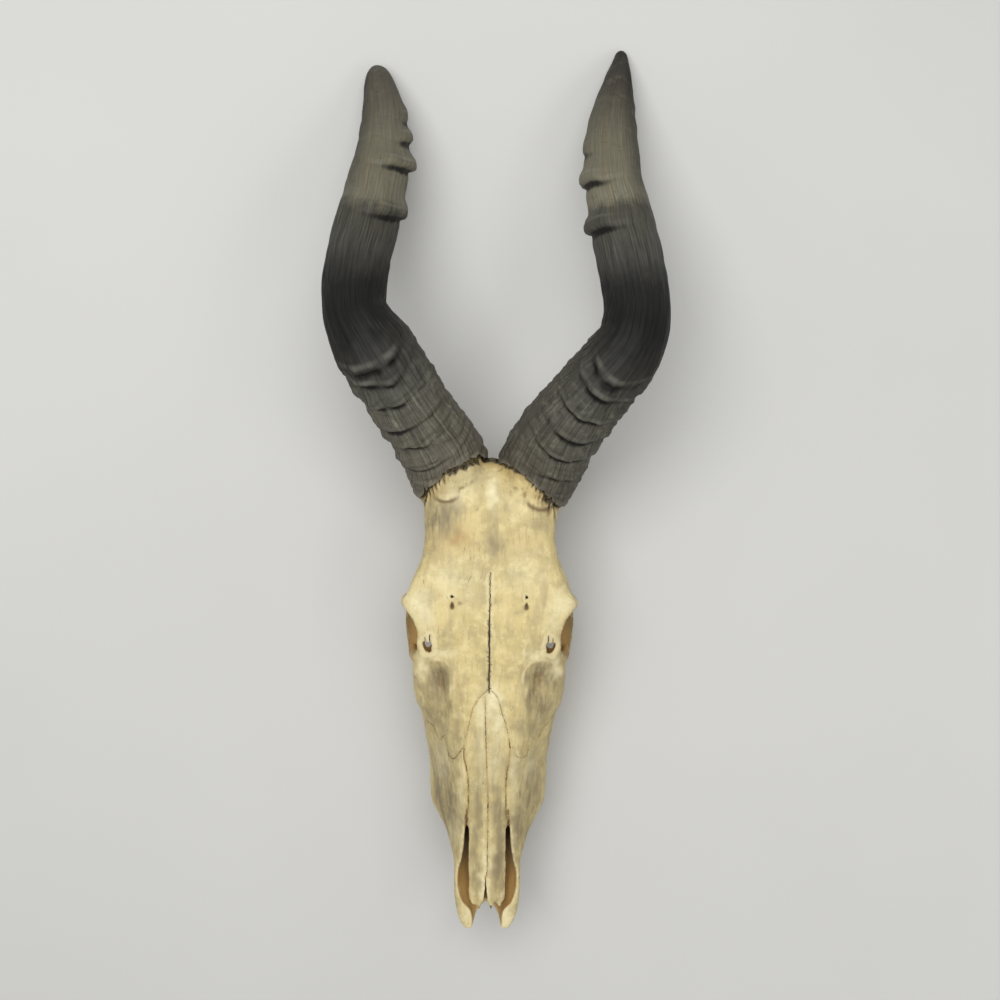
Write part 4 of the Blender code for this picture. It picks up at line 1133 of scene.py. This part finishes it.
def cheek_tooth(name, tooth, middle, side):
    """A worn cheek tooth: root in its socket, ribbed crown, and a chewing surface with enamel crescents."""
    half = np.array([tooth.width / 2, tooth.length / 2])
    outline = smooth_loop(TOOTH_OUTLINE, 96)
    heights = chewing_height(middle + outline[:, 1] * half[1])
    top = chewing_height(middle) + CROWN_HEIGHT + ROOT_DEPTH - 0.2
    rings = []
    for share in (1.0, 0.97, 0.8, 0.6, 0.45, 0.3, 0.16, 0.06, 0.0):
        size = 0.93 if share == 1.0 else 0.9 + 0.1 * smooth_step(share, 0, 0.45)
        level = heights + 0.25 + (top - heights) * share
        rings.append(tooth_ring(middle, outline * half * (size, 0.985), side, level))
    worn = [np.zeros(len(rings) * len(outline))]
    furrow = 1 - smooth_step(np.hypot(outline[:, 0], outline[:, 1] * 0.25), 0.72, 0.98)
    furrows = [furrow] * len(rings)
    for share in (0.97, 0.93, 0.88, 0.82, 0.74, 0.65, 0.55, 0.45, 0.34, 0.23, 0.12, 0.04):
        places = outline * share
        lobe = np.abs(places[:, 1]) - 0.48
        crescent = np.hypot(places[:, 0] / 0.42 - 0.25 * (lobe / 0.3) ** 2, lobe / 0.34)
        rim = np.exp(-((crescent - 0.95) ** 2) / 0.05) + np.exp(-((share - 0.96) ** 2) / 0.003)
        pit = bell(crescent, 0.5)
        sink = 0.25 + 1.0 * (1 - np.clip(rim, 0, 1)) + 1.6 * pit
        placed = places * half * (0.9, 0.985)
        rings.append(tooth_ring(middle, placed, side, chewing_height(middle + placed[:, 1]) + sink))
        worn.append(np.clip(1 - rim, 0, 1) + pit)
        furrows.append(np.zeros(len(outline)))
    marks = {"worn": np.concatenate([*worn, [0.0, 1.0]]), "furrow": np.concatenate([*furrows, [0.0, 0.0]])}
    return loft(name, rings), marks


def mark(obj, marks):
    """Stores numbers or vectors at the object's vertices for its material."""
    for name, values in marks.items():
        kind, field = ("FLOAT", "value") if values.ndim == 1 else ("FLOAT_VECTOR", "vector")
        layer = obj.data.attributes.new(name, kind, "POINT")
        layer.data.foreach_set(field, values.astype(np.float32).ravel())


# Patches of colour on the bone as seen from above: middle, radii and strength.
# Pale patches: pale stains, such as the white spot between the horns, and painted highlight on the brows and
# the top of the nose.
PALE_AND_HIGHLIGHT_PATCHES = (
    (2, 8, 5, 13, 1.0), (-66, -92, 11, 13, 0.7), (66, -93, 11, 12, 0.55), (-57, -108, 9, 14, 0.5),
    (57, -110, 8, 12, 0.35), (-61, -152, 4.5, 12, 0.65), (61, -152, 4.5, 11, 0.6),
    (-41, -138, 12, 4.5, 0.45), (42, -139, 12, 4.5, 0.4), (4, -180, 6, 13, 0.9), (-6, -192, 5, 14, 0.6),
    (9, -205, 6, 20, 0.55), (-6, -232, 4, 22, 0.35), (6, -240, 5, 16, 0.3), (-28, 8, 16, 13, 0.55),
    (-20, 26, 12, 10, 0.4), (26, -5, 14, 12, 0.25), (-38, -70, 17, 18, 0.4), (32, -66, 20, 20, 0.3),
    (-14, -75, 10, 26, 0.2), (-2.5, -345, 3, 34, 0.6), (2.5, -325, 3, 20, 0.3), (-17, -386, 6, 12, 0.5),
    (18, -386, 6, 12, 0.75), (-24, -262, 3, 26, 0.3), (24, -255, 3, 26, 0.5), (-43, -240, 7, 20, 0.35),
    (38, -243, 7, 12, 0.3), (-30, -305, 5, 14, 0.3),
)
GREY_PATCHES = (
    (-45, -18, 14, 18, 1.0), (-34, -8, 8, 10, 0.4), (1, -32, 7, 22, 0.55), (8, -44, 14, 10, 0.35),
    (52, -6, 8, 10, 0.7), (46, -24, 12, 12, 0.3), (-46, -160, 14, 15, 0.95), (47, -161, 14, 16, 1.0),
    (48, -168, 14, 20, 0.9), (-40, -184, 11, 18, 0.7), (-38, -252, 14, 42, 0.6), (38, -256, 13, 44, 0.42),
    (-28, -302, 8, 22, 0.75), (28, -302, 8, 22, 0.7), (-24, -340, 5, 30, 0.5), (24, -340, 5, 30, 0.5),
    (-7, -240, 7, 40, 0.42), (8, -236, 7, 40, 0.55), (-12, 22, 14, 8, 0.25), (12, 2, 6, 14, 0.3),
    (-50, -30, 5, 20, 0.5), (45, -186, 11, 22, 0.7), (-52, -182, 6, 20, 0.35), (-42, -268, 14, 32, 1.0),
    (-34, -290, 10, 20, 0.6), (-50, -205, 11, 16, 0.35), (38, -268, 12, 30, 0.75), (36, -300, 6, 16, 0.4),
    (10, -280, 6, 34, 0.65), (-9, -290, 6, 34, 0.6), (11, -330, 6, 30, 0.85), (-10, -345, 6, 22, 0.6),
    (-11, -315, 5, 12, 0.3), (12, -360, 5, 14, 0.6), (-46, -262, 9, 24, 0.8), (-44, -12, 9, 12, 0.6),
    (30, -210, 7, 14, 0.35), (-28, -212, 6, 14, 0.3), (60, -128, 8, 12, 0.3),
)
ORANGE_PATCHES = (
    (-30, -34, 13, 10, 1.0), (-47, -48, 8, 14, 0.4), (32, -36, 14, 8, 0.35), (-43, 8, 8, 8, 0.7),
    (-30, 22, 9, 7, 0.5), (44, 6, 8, 8, 0.5), (20, 24, 14, 6, 0.4), (-67, -140, 4, 16, 0.6),
    (67, -142, 4, 16, 0.6), (74, -104, 5, 8, 0.5), (-17, -366, 7, 10, 0.5), (12, -345, 6, 20, 0.3),
    (-24, -322, 5, 12, 0.5),
)


def patch_strength(points, patches):
    """How strongly each point is tinted by the patches, from 0 to 1."""
    clear = np.ones(len(points))
    shifted_x = points[:, 0] + 2.2 * waves(points, 13, 21)
    shifted_y = points[:, 1] + 2.2 * waves(points, 13, 22)
    for x, y, radius_x, radius_y, strength in patches:
        clear *= 1 - strength * bell(np.hypot((shifted_x - x) / radius_x, (shifted_y - y) / radius_y), 1)
    return 1 - clear


def neighbours_mean(obj, values, times):
    """The values smoothed over the mesh's edges."""
    edges = np.empty(len(obj.data.edges) * 2, dtype=np.int32)
    obj.data.edges.foreach_get("vertices", edges)
    start, end = edges.reshape(-1, 2).T
    count = len(values)
    degree = np.maximum(np.bincount(start, minlength=count) + np.bincount(end, minlength=count), 1)
    for _ in range(times):
        total = np.column_stack([
            np.bincount(start, column[end], count) + np.bincount(end, column[start], count)
            for column in values.T
        ])
        values = 0.5 * values + 0.5 * total / degree[:, None]
    return values


def inside_share(points):
    """1 in the nasal passage, the orbits and the spinal opening, 0 outside."""
    x, y, z = points.T
    rows = smooth_path(NASAL_PASSAGE, LONG_STEPS)
    rows = rows[np.argsort(rows[:, 0])]
    upper, middle, lower, low, rim, high = (np.interp(y, rows[:, 0], rows[:, k]) for k in range(1, 7))
    lean = np.clip((z - low) / np.maximum(rim - low, 1), 0, 1)
    lower_width = lower + (middle - lower) * lean * 2
    upper_width = middle + (upper - middle) * (lean * 2 - 1)
    width = np.where(lean < 0.5, lower_width, upper_width) + 0.9 + 7.2 * lean * (1 - lean)
    roof_rows = np.array(NASALS)[::-1]
    half, roof, drop = (np.interp(y, roof_rows[:, 0], roof_rows[:, k]) for k in (1, 2, 3))
    ceiling = np.where(np.abs(x) < half + 1.0, roof - drop * (x / half) ** 2 - 2.0, high + 1)
    ceiling = np.where(y < -372, 200, ceiling)
    share = smooth_step(width - np.abs(x), 0.0, 1.2) * smooth_step(z, low - 1.5, low + 0.5)
    share *= smooth_step(ceiling - z, 0, 1.2) * smooth_step(y, -398, -384) * smooth_step(y, -90, -100)
    for side in (-1, 1):
        orbit = smooth_step(depth_in(ORBIT, points, side), 1.16, 1.0)
        share = np.maximum(share, orbit * smooth_step(np.abs(x), 77, 68))
    return np.maximum(share, smooth_step(depth_in(SPINAL_OPENING, points), 1.15, 1.02))


def orbit_stain(points):
    """1 in the orbits and on the bars of bone round them, below the brow."""
    depth = np.minimum(depth_in(ORBIT, points, -1), depth_in(ORBIT, points, 1))
    return smooth_step(depth, 1.34, 1.08) * smooth_step(points[:, 2], 121, 112)


def rim_marks(points):
    """Two marks, from 0 to 1: painted shadow on the bone close under the sheaths' rims and inside them, and a
    stain on the bone just outside the rims, over a finger's breadth."""
    shade = np.zeros(len(points))
    tint = np.zeros(len(points))
    for horn in HORNS.values():
        close, along, angle, reach = horn.near_base(points, 110)
        past = along - horn.rim_shift(angle)
        under = smooth_step(past + rim_gap(horn, angle), -2.2, 0.1) * smooth_step(reach, 50, 44)
        shade[close] = np.maximum(shade[close], under)
        close_by = np.linalg.norm(points[close] - horn.centers[0], axis=1) < 80
        tint[close] = np.maximum(tint[close], smooth_step(past, -13, -3) * close_by)
    return shade, tint


def bone_marks(obj):
    """The colours' guides at the bone's vertices."""
    points = points_of(obj)
    normals = normals_of(obj)
    x, y, z = points.T
    up = smooth_step(normals[:, 2], -0.05, 0.3) * smooth_step(z, 84, 94)
    # Painted shade in the pits behind the brow holes and in the small pits of the forehead.
    pits = np.zeros(len(points))
    for side in (-1, 1):
        pits = np.maximum(pits, 0.95 * (1 - smooth_step(brow_wedge(side * x, y), 0.1, 1.15)))
    for depth, middle_x, middle_y, stretch, inner, outer in PITS:
        away = np.hypot(x - middle_x, (y - middle_y) / stretch)
        pits = np.maximum(pits, depth * (1 - smooth_step(away, inner, outer)))
    # Painted shadow along the lower edge of each bulge under the rims.
    bulge_edge_shade = np.zeros(len(points))
    for bulge in BULGES:
        reach = np.hypot((x - bulge.x) / bulge.radius_x, (y - bulge.y) / bulge.radius_y)
        bulge_edge_shade = np.maximum(bulge_edge_shade, bell(reach - 1.0, 0.15) * smooth_step(bulge.y - y, 2, 9))
    # Painted shade in the troughs between the bone's pleats under the rims.
    pleat_shade = np.zeros(len(points))
    for horn in HORNS.values():
        close, height, zone = pleats_at(horn, points)
        pleat_shade[close] = np.maximum(pleat_shade[close], smooth_step(height, 0.0, -0.9) * zone)
    # Painted shadow: far inside the nasal passage, and in the wedge between the nasal bones' ends.
    deep_shade = smooth_step(y, -150, -180) * smooth_step(y, -338, -306)
    wedge = smooth_step(np.abs(x - NASAL_WEDGE_X), 6.5, 4.5) * smooth_step(y, -384, -378)
    crack = seam_distance(points[:, :2], [(1.0, MIDLINE_CRACK)], 4)[0]
    # Painted shadow inside the open midline crack.
    crack_shade = (1 - smooth_step(crack, 0.55, 1.25)) * smooth_step(z, 139, 136) * smooth_step(z, 120, 128)
    seam, seam_near, seam_strength = seam_marks(points, normals, up)
    rim_shade, rim_tint = rim_marks(points)
    return {
        "bulge_edge_shade": bulge_edge_shade * up,
        "pleat_shade": pleat_shade * up,
        "crack_shade": crack_shade,
        "orbit": orbit_stain(points),
        "rim_tint": rim_tint * smooth_step(z, 70, 95),
        "deep_shade": np.maximum(deep_shade, wedge),
        "seam": seam,
        "seam_near": seam_near,
        "seam_strength": seam_strength,
        "hollow": np.sum((neighbours_mean(obj, points, 14) - points) * normals, axis=1),
        "inside": inside_share(points),
        "rim_shade": rim_shade,
        "pits": pits * up,
        "pale": patch_strength(points, PALE_AND_HIGHLIGHT_PATCHES) * up,
        "grey": patch_strength(points, GREY_PATCHES) * up,
        "orange": patch_strength(points, ORANGE_PATCHES) * up,
        # Painted shade: faces that turn downwards, away from the light.
        "under": smooth_step(-normals[:, 2], -0.1, 0.7),
    }


class Value:
    """What a node puts out. Sums, products and the like of values are nodes too."""

    def __init__(self, surface, socket):
        self.surface = surface
        self.socket = socket

    def __add__(self, other):
        return self.surface.math("ADD", self, other)

    def __sub__(self, other):
        return self.surface.math("SUBTRACT", self, other)

    def __rsub__(self, other):
        return self.surface.math("SUBTRACT", other, self)

    def __mul__(self, other):
        return self.surface.math("MULTIPLY", self, other)

    def __truediv__(self, other):
        return self.surface.math("DIVIDE", self, other)

    def __abs__(self):
        return self.surface.math("ABSOLUTE", self, 0.0)

    def at_most(self, limit):
        return self.surface.math("MINIMUM", self, limit)

    def step(self, low, high):
        """0 up to low, 1 from high on and soft between."""
        inputs = {"Value": self, "From Min": low, "From Max": high}
        return self.surface.add("MapRange", inputs, "Result", interpolation_type="SMOOTHSTEP")

    def stretch(self, x, y, z):
        return self.surface.add("VectorMath", {0: self, 1: (x, y, z)}, 0, operation="MULTIPLY")


class Surface:
    """One material, its colour so far, and short ways to add nodes to it."""

    def __init__(self, name, color=None):
        self.material = bpy.data.materials.new(name)
        self.material.use_nodes = True
        self.tree = self.material.node_tree
        self.color = color
        self.place = self.add("TexCoord", {}, "Object")

    def put(self, value, socket):
        """Links a value to the socket, or sets the socket to a number or colour."""
        if isinstance(value, Value):
            self.tree.links.new(value.socket, socket)
        elif isinstance(value, tuple) and socket.type == "RGBA":
            socket.default_value = (*value, 1.0)
        else:
            socket.default_value = value

    def add(self, kind, inputs, output, **settings):
        """A new node with its settings and inputs. The outcome is the value of the named output."""
        new = self.tree.nodes.new("ShaderNode" + kind)
        for key, value in settings.items():
            setattr(new, key, value)
        for key, value in inputs.items():
            self.put(value, new.inputs[key])
        return Value(self, new.outputs[output])

    def mark(self, name, output="Fac"):
        return self.add("Attribute", {}, output, attribute_name=name)

    def noise(self, size, vector=None, detail=3.0, roughness=0.55):
        """Noise between about 0.2 and 0.8, with features of the given size in millimetres."""
        inputs = {"Vector": vector or self.place, "Scale": 1 / (size * MM)}
        return self.add("TexNoise", {**inputs, "Detail": detail, "Roughness": roughness}, "Fac")

    def math(self, operation, first, second):
        return self.add("Math", {0: first, 1: second}, 0, operation=operation)

    def mix(self, share, first, second, blend="MIX"):
        settings = {"data_type": "RGBA", "blend_type": blend, "clamp_factor": True}
        return self.add("Mix", {0: share, 6: first, 7: second}, 2, **settings)

    def tint(self, share, color, blend="MIX"):
        """Lays a further tint over the colour so far."""
        self.color = self.mix(share, self.color, color, blend)

    def ramp(self, value, stops):
        """Colours by the value, from stops of a place and a colour."""
        ramp = self.add("ValToRGB", {"Fac": value}, "Color")
        elements = ramp.socket.node.color_ramp.elements
        while len(elements) < len(stops):
            elements.new(0.5)
        for element, (spot, tint) in zip(elements, stops):
            element.position = spot
            element.color = (*tint, 1.0)
        return ramp

    def bump(self, height, strength, distance, below=None):
        """The direction of the surface with small relief, on top of the relief below it."""
        inputs = {"Height": height, "Strength": strength, "Distance": distance * MM}
        if below:
            inputs["Normal"] = below
        return self.add("Bump", inputs, "Normal")

    def finish(self, roughness, normal=None, specular=0.5):
        inputs = self.tree.nodes["Principled BSDF"].inputs
        self.put(self.color, inputs["Base Color"])
        self.put(roughness, inputs["Roughness"])
        self.put(specular, inputs["Specular IOR Level"])
        if normal:
            self.put(normal, inputs["Normal"])
        return self.material


def bone_surface():
    """Dry weathered bone: cream to olive-beige, stained, with brown seams and ochre hollows. Shade is painted
    into small hollows, on faces that turn down, far inside the nose, in pits, the crack, pleats, under bulges
    and under the horns' rims, and highlight onto edges and some pale patches.
    """
    s = Surface("dry bone", (0.66, 0.535, 0.25))
    broad = s.noise(34, detail=4)
    blotch = s.noise(9, detail=4, roughness=0.6)
    fine = s.noise(2.4, detail=4, roughness=0.65)
    streak = s.noise(3.2, s.place.stretch(1.0, 0.16, 1.0), detail=4, roughness=0.6)
    band = s.noise(11, s.place.stretch(1.0, 0.25, 1.0), detail=4, roughness=0.6)
    grain = s.noise(1.0, s.place.stretch(1.0, 0.3, 1.0), detail=2)
    s.tint(broad.step(0.35, 0.66), (0.53, 0.43, 0.195))
    s.tint(blotch.step(0.42, 0.7), (0.72, 0.605, 0.3))
    s.tint(s.noise(17).step(0.5, 0.7) * 0.6, (0.42, 0.345, 0.18))
    s.tint(band.step(0.5, 0.7) * 0.55, (0.4, 0.325, 0.175))
    s.tint(streak.step(0.52, 0.72) * 0.45, (0.38, 0.3, 0.15))
    s.tint(s.mark("orange") * blotch.step(0.25, 0.6) * 0.9, (0.47, 0.305, 0.115))
    mottle = (streak * 0.5 + band * 0.5).step(0.38, 0.58)
    s.tint(s.mark("grey") * (mottle * 0.55 + 0.55), (0.235, 0.19, 0.11))
    s.tint(s.mark("rim_tint") * band.step(0.28, 0.6) * 0.75, (0.4, 0.285, 0.115))
    # Pale stains together with painted highlight on the brows and the top of the nose.
    s.tint(s.mark("pale") * (blotch.step(0.3, 0.6) * 0.4 + 0.75), (0.82, 0.745, 0.47))
    # Painted shade: darker olive-brown on faces that turn downwards.
    s.tint(s.mark("under") * 0.35, (0.5, 0.37, 0.17))
    s.tint(fine.step(0.54, 0.74) * 0.32, (0.34, 0.255, 0.135))
    # Dirt and painted shade: dark brown where the surface lies below its neighbours, in hollows and seams.
    hollow = s.mark("hollow")
    s.tint((hollow + blotch * 0.5).step(0.4, 1.1) * 0.88, (0.2, 0.135, 0.055))
    s.tint((s.mark("orbit") * (blotch * 0.7 + 0.55)).at_most(0.92), (0.2, 0.128, 0.042))
    inside = s.mark("inside")
    s.tint((inside * (blotch * 0.8 + 0.6)).at_most(0.95), (0.4, 0.235, 0.075))
    # Painted shadow: near black far inside the nasal passage and between the nasal bones' ends.
    s.tint(inside * s.mark("deep_shade") * 0.85, (0.07, 0.04, 0.016))
    # Painted highlight: paler where the surface stands above its neighbours, on ridges and edges.
    edge = (hollow * -1.0).step(0.25, 0.95)
    s.tint(edge * (1.0 - inside * 0.85) * 0.55, (0.8, 0.69, 0.41))
    seam_strength = s.mark("seam_strength")
    waver = s.noise(2.6, roughness=0.7) - 0.5
    line = abs(s.mark("seam") + waver * 2.6)
    width = (s.noise(7) - 0.12) * seam_strength * 1.15
    patchy = s.noise(10, detail=2).step(0.38, 0.6) * 0.7 + 0.3
    near = s.mark("seam_near") * seam_strength
    seam = (1.0 - (line / width).step(0.5, 1.7)) * near * patchy
    s.tint((seam * 1.2).at_most(0.96), (0.06, 0.033, 0.013))
    s.tint(near * (1.0 - line.step(0.4, 2.4)) * 0.3, (0.4, 0.27, 0.11))
    spots = s.add("TexVoronoi", {"Vector": s.place, "Scale": 1 / (2.6 * MM)}, "Distance")
    pores = (1.0 - spots.step(0.06, 0.16)) * s.noise(14).step(0.52, 0.62)
    s.tint(pores * 0.6, (0.2, 0.14, 0.07))
    hairline = abs(s.noise(9, s.place.stretch(1, 0.12, 1), 2) - 0.5)
    crack = (1.0 - hairline.step(0.002, 0.008)) * s.noise(22).step(0.53, 0.6)
    s.tint(crack * 0.5, (0.25, 0.17, 0.08))
    # Painted shade: dark brown in the pleats' troughs.
    s.tint(s.mark("pleat_shade") * 0.8, (0.17, 0.115, 0.045))
    # Painted shadow: dark brown under the lower edge of each bulge.
    s.tint(s.mark("bulge_edge_shade") * streak.step(0.26, 0.52) * 0.88, (0.13, 0.08, 0.03))
    # Painted shadow: near black in the open crack between the frontal bones.
    s.tint(s.mark("crack_shade") * 0.97, (0.018, 0.012, 0.007))
    # Painted shadow: near black in the forehead's pits.
    s.tint(s.mark("pits") * 0.9, (0.06, 0.04, 0.02))
    # Painted shadow: near black in the gaps under the sheaths' rims.
    s.tint(s.mark("rim_shade") * (fine.step(0.3, 0.6) * 0.3 + 0.7) * 0.95, (0.02, 0.014, 0.008))
    normal = s.bump(fine * 0.6 + grain * 0.4, 0.35, 0.5)
    normal = s.bump(seam + (pores + crack), -0.7, 0.5, normal)
    return s.finish(blotch * 0.3 + 0.45, normal, 0.28)


def horn_surface():
    """Keratin: grey-brown and ringed at the base, charcoal in the middle, grey-brown towards the tip, with
    painted shadow under the rings' crests and on the outer sides of the tips, and painted highlight along the
    crests.
    """
    s = Surface("horn")
    grain = s.mark("grain", "Vector").stretch(MM, MM, MM)
    growth = s.mark("growth", "Vector").stretch(MM, MM, MM)
    thread = s.noise(1.5, grain, detail=4, roughness=0.65)
    strand = s.noise(4.5, grain)
    band = s.noise(16, grain)
    lines = s.noise(2.6, growth, roughness=0.6)
    mottle = s.noise(11, detail=4, roughness=0.6)
    speck = s.noise(2.2, roughness=0.65)
    along = s.mark("along")
    s.color = s.ramp(along + (mottle - 0.5) * 0.05, HORN_COLORS)
    # The tone holds each horn's own lightness along it, and painted shade on the outer side of its upper
    # part.
    s.tint(1.0, s.mark("tone", "Color"), "MULTIPLY")
    base = 1.0 - along.step(0.2, 0.3)
    ringed = along.step(0.56, 0.62)
    s.tint(mottle.step(0.48, 0.7) * (base + ringed * 0.6) * 0.5, (0.155, 0.15, 0.118))
    s.tint(band.step(0.5, 0.72) * 0.5, (1.0, 0.87, 0.74), "MULTIPLY")
    threaded = 1.0 - ringed * 0.55
    s.tint(thread.step(0.5, 0.7) * threaded * 0.75, (0.25, 0.24, 0.23), "MULTIPLY")
    s.tint((1.0 - thread).step(0.5, 0.68) * threaded * 0.7, (1.75, 1.72, 1.6), "MULTIPLY")
    lined = base * 0.45 + (ringed * 0.3 + 0.1)
    s.tint(lines.step(0.52, 0.7) * mottle.step(0.35, 0.65) * lined, (0.32, 0.3, 0.28), "MULTIPLY")
    s.tint(speck.step(0.56, 0.72) * base * 0.55, (1.9, 1.85, 1.75), "MULTIPLY")
    # Painted highlight: lighter grey-brown along the lit edge of each ring's crest.
    crest = s.mark("crest").step(0.15, 0.9) * strand.step(0.2, 0.6)
    s.tint(crest * 0.7, s.mix(ringed, (0.125, 0.122, 0.1), (0.21, 0.19, 0.15)))
    fray = (1.0 - along.step(0.002, 0.014)) * thread.step(0.4, 0.6)
    s.tint(fray * 0.5, (0.3, 0.265, 0.19))
    # Painted shadow: near black in the creases under the rings' crests and inside the socket.
    crease = (s.mark("crease") + (strand - 0.5) * 0.5).step(0.18, 0.8)
    s.tint(crease * 0.92, (0.006, 0.0055, 0.005))
    normal = s.bump(thread * 0.7 + strand * 0.6, 0.6, 0.7)
    normal = s.bump(lines * base, 0.3, 0.5, normal)
    return s.finish(strand * 0.35 + 0.4, s.bump(speck, 0.2, 0.3, normal), 0.16)


def tooth_surface():
    """Worn enamel, stained brown towards the gum and in the worn middle."""
    s = Surface("tooth enamel", (0.66, 0.58, 0.4))
    stain = s.noise(5, s.place.stretch(1, 1, 0.25), detail=4)
    fine = s.noise(1.2, s.place.stretch(1, 1, 0.4))
    worn = s.mark("worn")
    s.tint(stain.step(0.4, 0.65), (0.42, 0.31, 0.17))
    s.tint(fine.step(0.5, 0.7) * 0.25, (0.3, 0.21, 0.11))
    s.tint(s.mark("furrow") * stain.step(0.2, 0.6) * 0.7, (0.19, 0.125, 0.065))
    s.tint(worn.step(0.35, 0.95) * 0.85, (0.2, 0.12, 0.055))
    s.tint(worn.step(1.2, 1.8), (0.04, 0.026, 0.015))
    return s.finish(stain * 0.3 + 0.2, s.bump(fine, 0.3, 0.3))


def floor_surface():
    s = Surface("pale floor", (0.56, 0.56, 0.545))
    cloud = s.noise(400)
    s.tint(cloud, (0.62, 0.62, 0.605))
    return s.finish(cloud * 0.1 + 0.8)


def held_inside(points):
    """The points with the outermost few millimetres pressed softly into the box of the CAD model."""
    low, high = (np.array(corner, dtype=float) / MM for corner in cad_box)
    top = high - BOX_SOFTNESS
    bottom = low + BOX_SOFTNESS
    over = np.maximum(0.0, points - top) / BOX_SOFTNESS
    points = np.where(over > 0, top + BOX_SOFTNESS * np.tanh(over), points)
    under = np.maximum(0.0, bottom - points) / BOX_SOFTNESS
    pressed = np.where(under > 0, bottom - BOX_SOFTNESS * np.tanh(under), points)
    pressed[:, 2] = np.maximum(points[:, 2], low[2])
    return pressed


def finish_piece(obj, node, material, marks):
    """Moves a piece from the skull's frame to its place in the CAD frame and puts it in for its CAD node."""
    move_points(obj, held_inside(points_of(obj) - (MIDDLE_X, MIDDLE_Y, 0)))
    mark(obj, marks)
    obj.data.shade_smooth()
    obj.data.materials.clear()
    obj.data.materials.append(material)
    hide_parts(node)
    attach(obj, "root")


def stand(name, data, place, rotation):
    """Puts a lamp or the camera in its place."""
    holder = bpy.data.objects.new(name, data)
    bpy.context.scene.collection.objects.link(holder)
    holder.location = place
    holder.rotation_euler = rotation
    return holder


def set_stage():
    """Plain pale floor, soft light from above and the camera straight over the forehead."""
    scene = bpy.context.scene
    bpy.ops.mesh.primitive_plane_add(size=FLOOR_SIZE)
    floor = bpy.context.object
    floor.name = "floor"
    floor.location = (0, 0, -FLOOR_GAP)
    floor.data.materials.append(floor_surface())
    world = bpy.data.worlds.new("soft room")
    scene.world = world
    world.use_nodes = True
    background = world.node_tree.nodes["Background"].inputs
    background["Color"].default_value = ROOM_COLOR
    background["Strength"].default_value = ROOM_LIGHT
    for name, place, size, power in LAMPS:
        lamp = bpy.data.lights.new(name, "AREA")
        lamp.size = size
        lamp.energy = power
        x, y, z = place
        stand(name, lamp, place, (math.acos(z / math.hypot(x, y, z)), 0, math.atan2(-x, y)))
    lens = bpy.data.cameras.new("camera")
    lens.sensor_width = SENSOR_WIDTH
    lens.lens = FOCAL_LENGTH
    lens.clip_start = 0.05
    lens.clip_end = 30
    scene.camera = stand("camera", lens, CAMERA_PLACE, (0, 0, CAMERA_TURN))
    scene.view_settings.view_transform = "Standard"


def main():
    bone_material = bone_surface()
    horn_material = horn_surface()
    tooth_material = tooth_surface()
    bone = skull_bone()
    finish_piece(bone, "skull", bone_material, bone_marks(bone))
    for side_name, horn in HORNS.items():
        sheath, marks = horn_sheath(f"sheath_{side_name}", horn)
        finish_piece(sheath, f"horn_sheath_{side_name}", horn_material, marks)
    for side_name, side in (("left", 1), ("right", -1)):
        for tooth, middle in tooth_middles():
            name = f"{side_name}_{tooth.name}"
            crown, marks = cheek_tooth(f"crown_{name}", tooth, middle, side)
            finish_piece(crown, f"tooth_{name}", tooth_material, marks)
    set_stage()


HORNS = {
    "left": Horn(LEFT_HORN, LEFT_RINGS, LEFT_RIM, LEFT_GAPS, LEFT_NOTCHES, LEFT_TONE, 300),
    "right": Horn(RIGHT_HORN, RIGHT_RINGS, RIGHT_RIM, RIGHT_GAPS, RIGHT_NOTCHES, RIGHT_TONE, 500),
}
main()
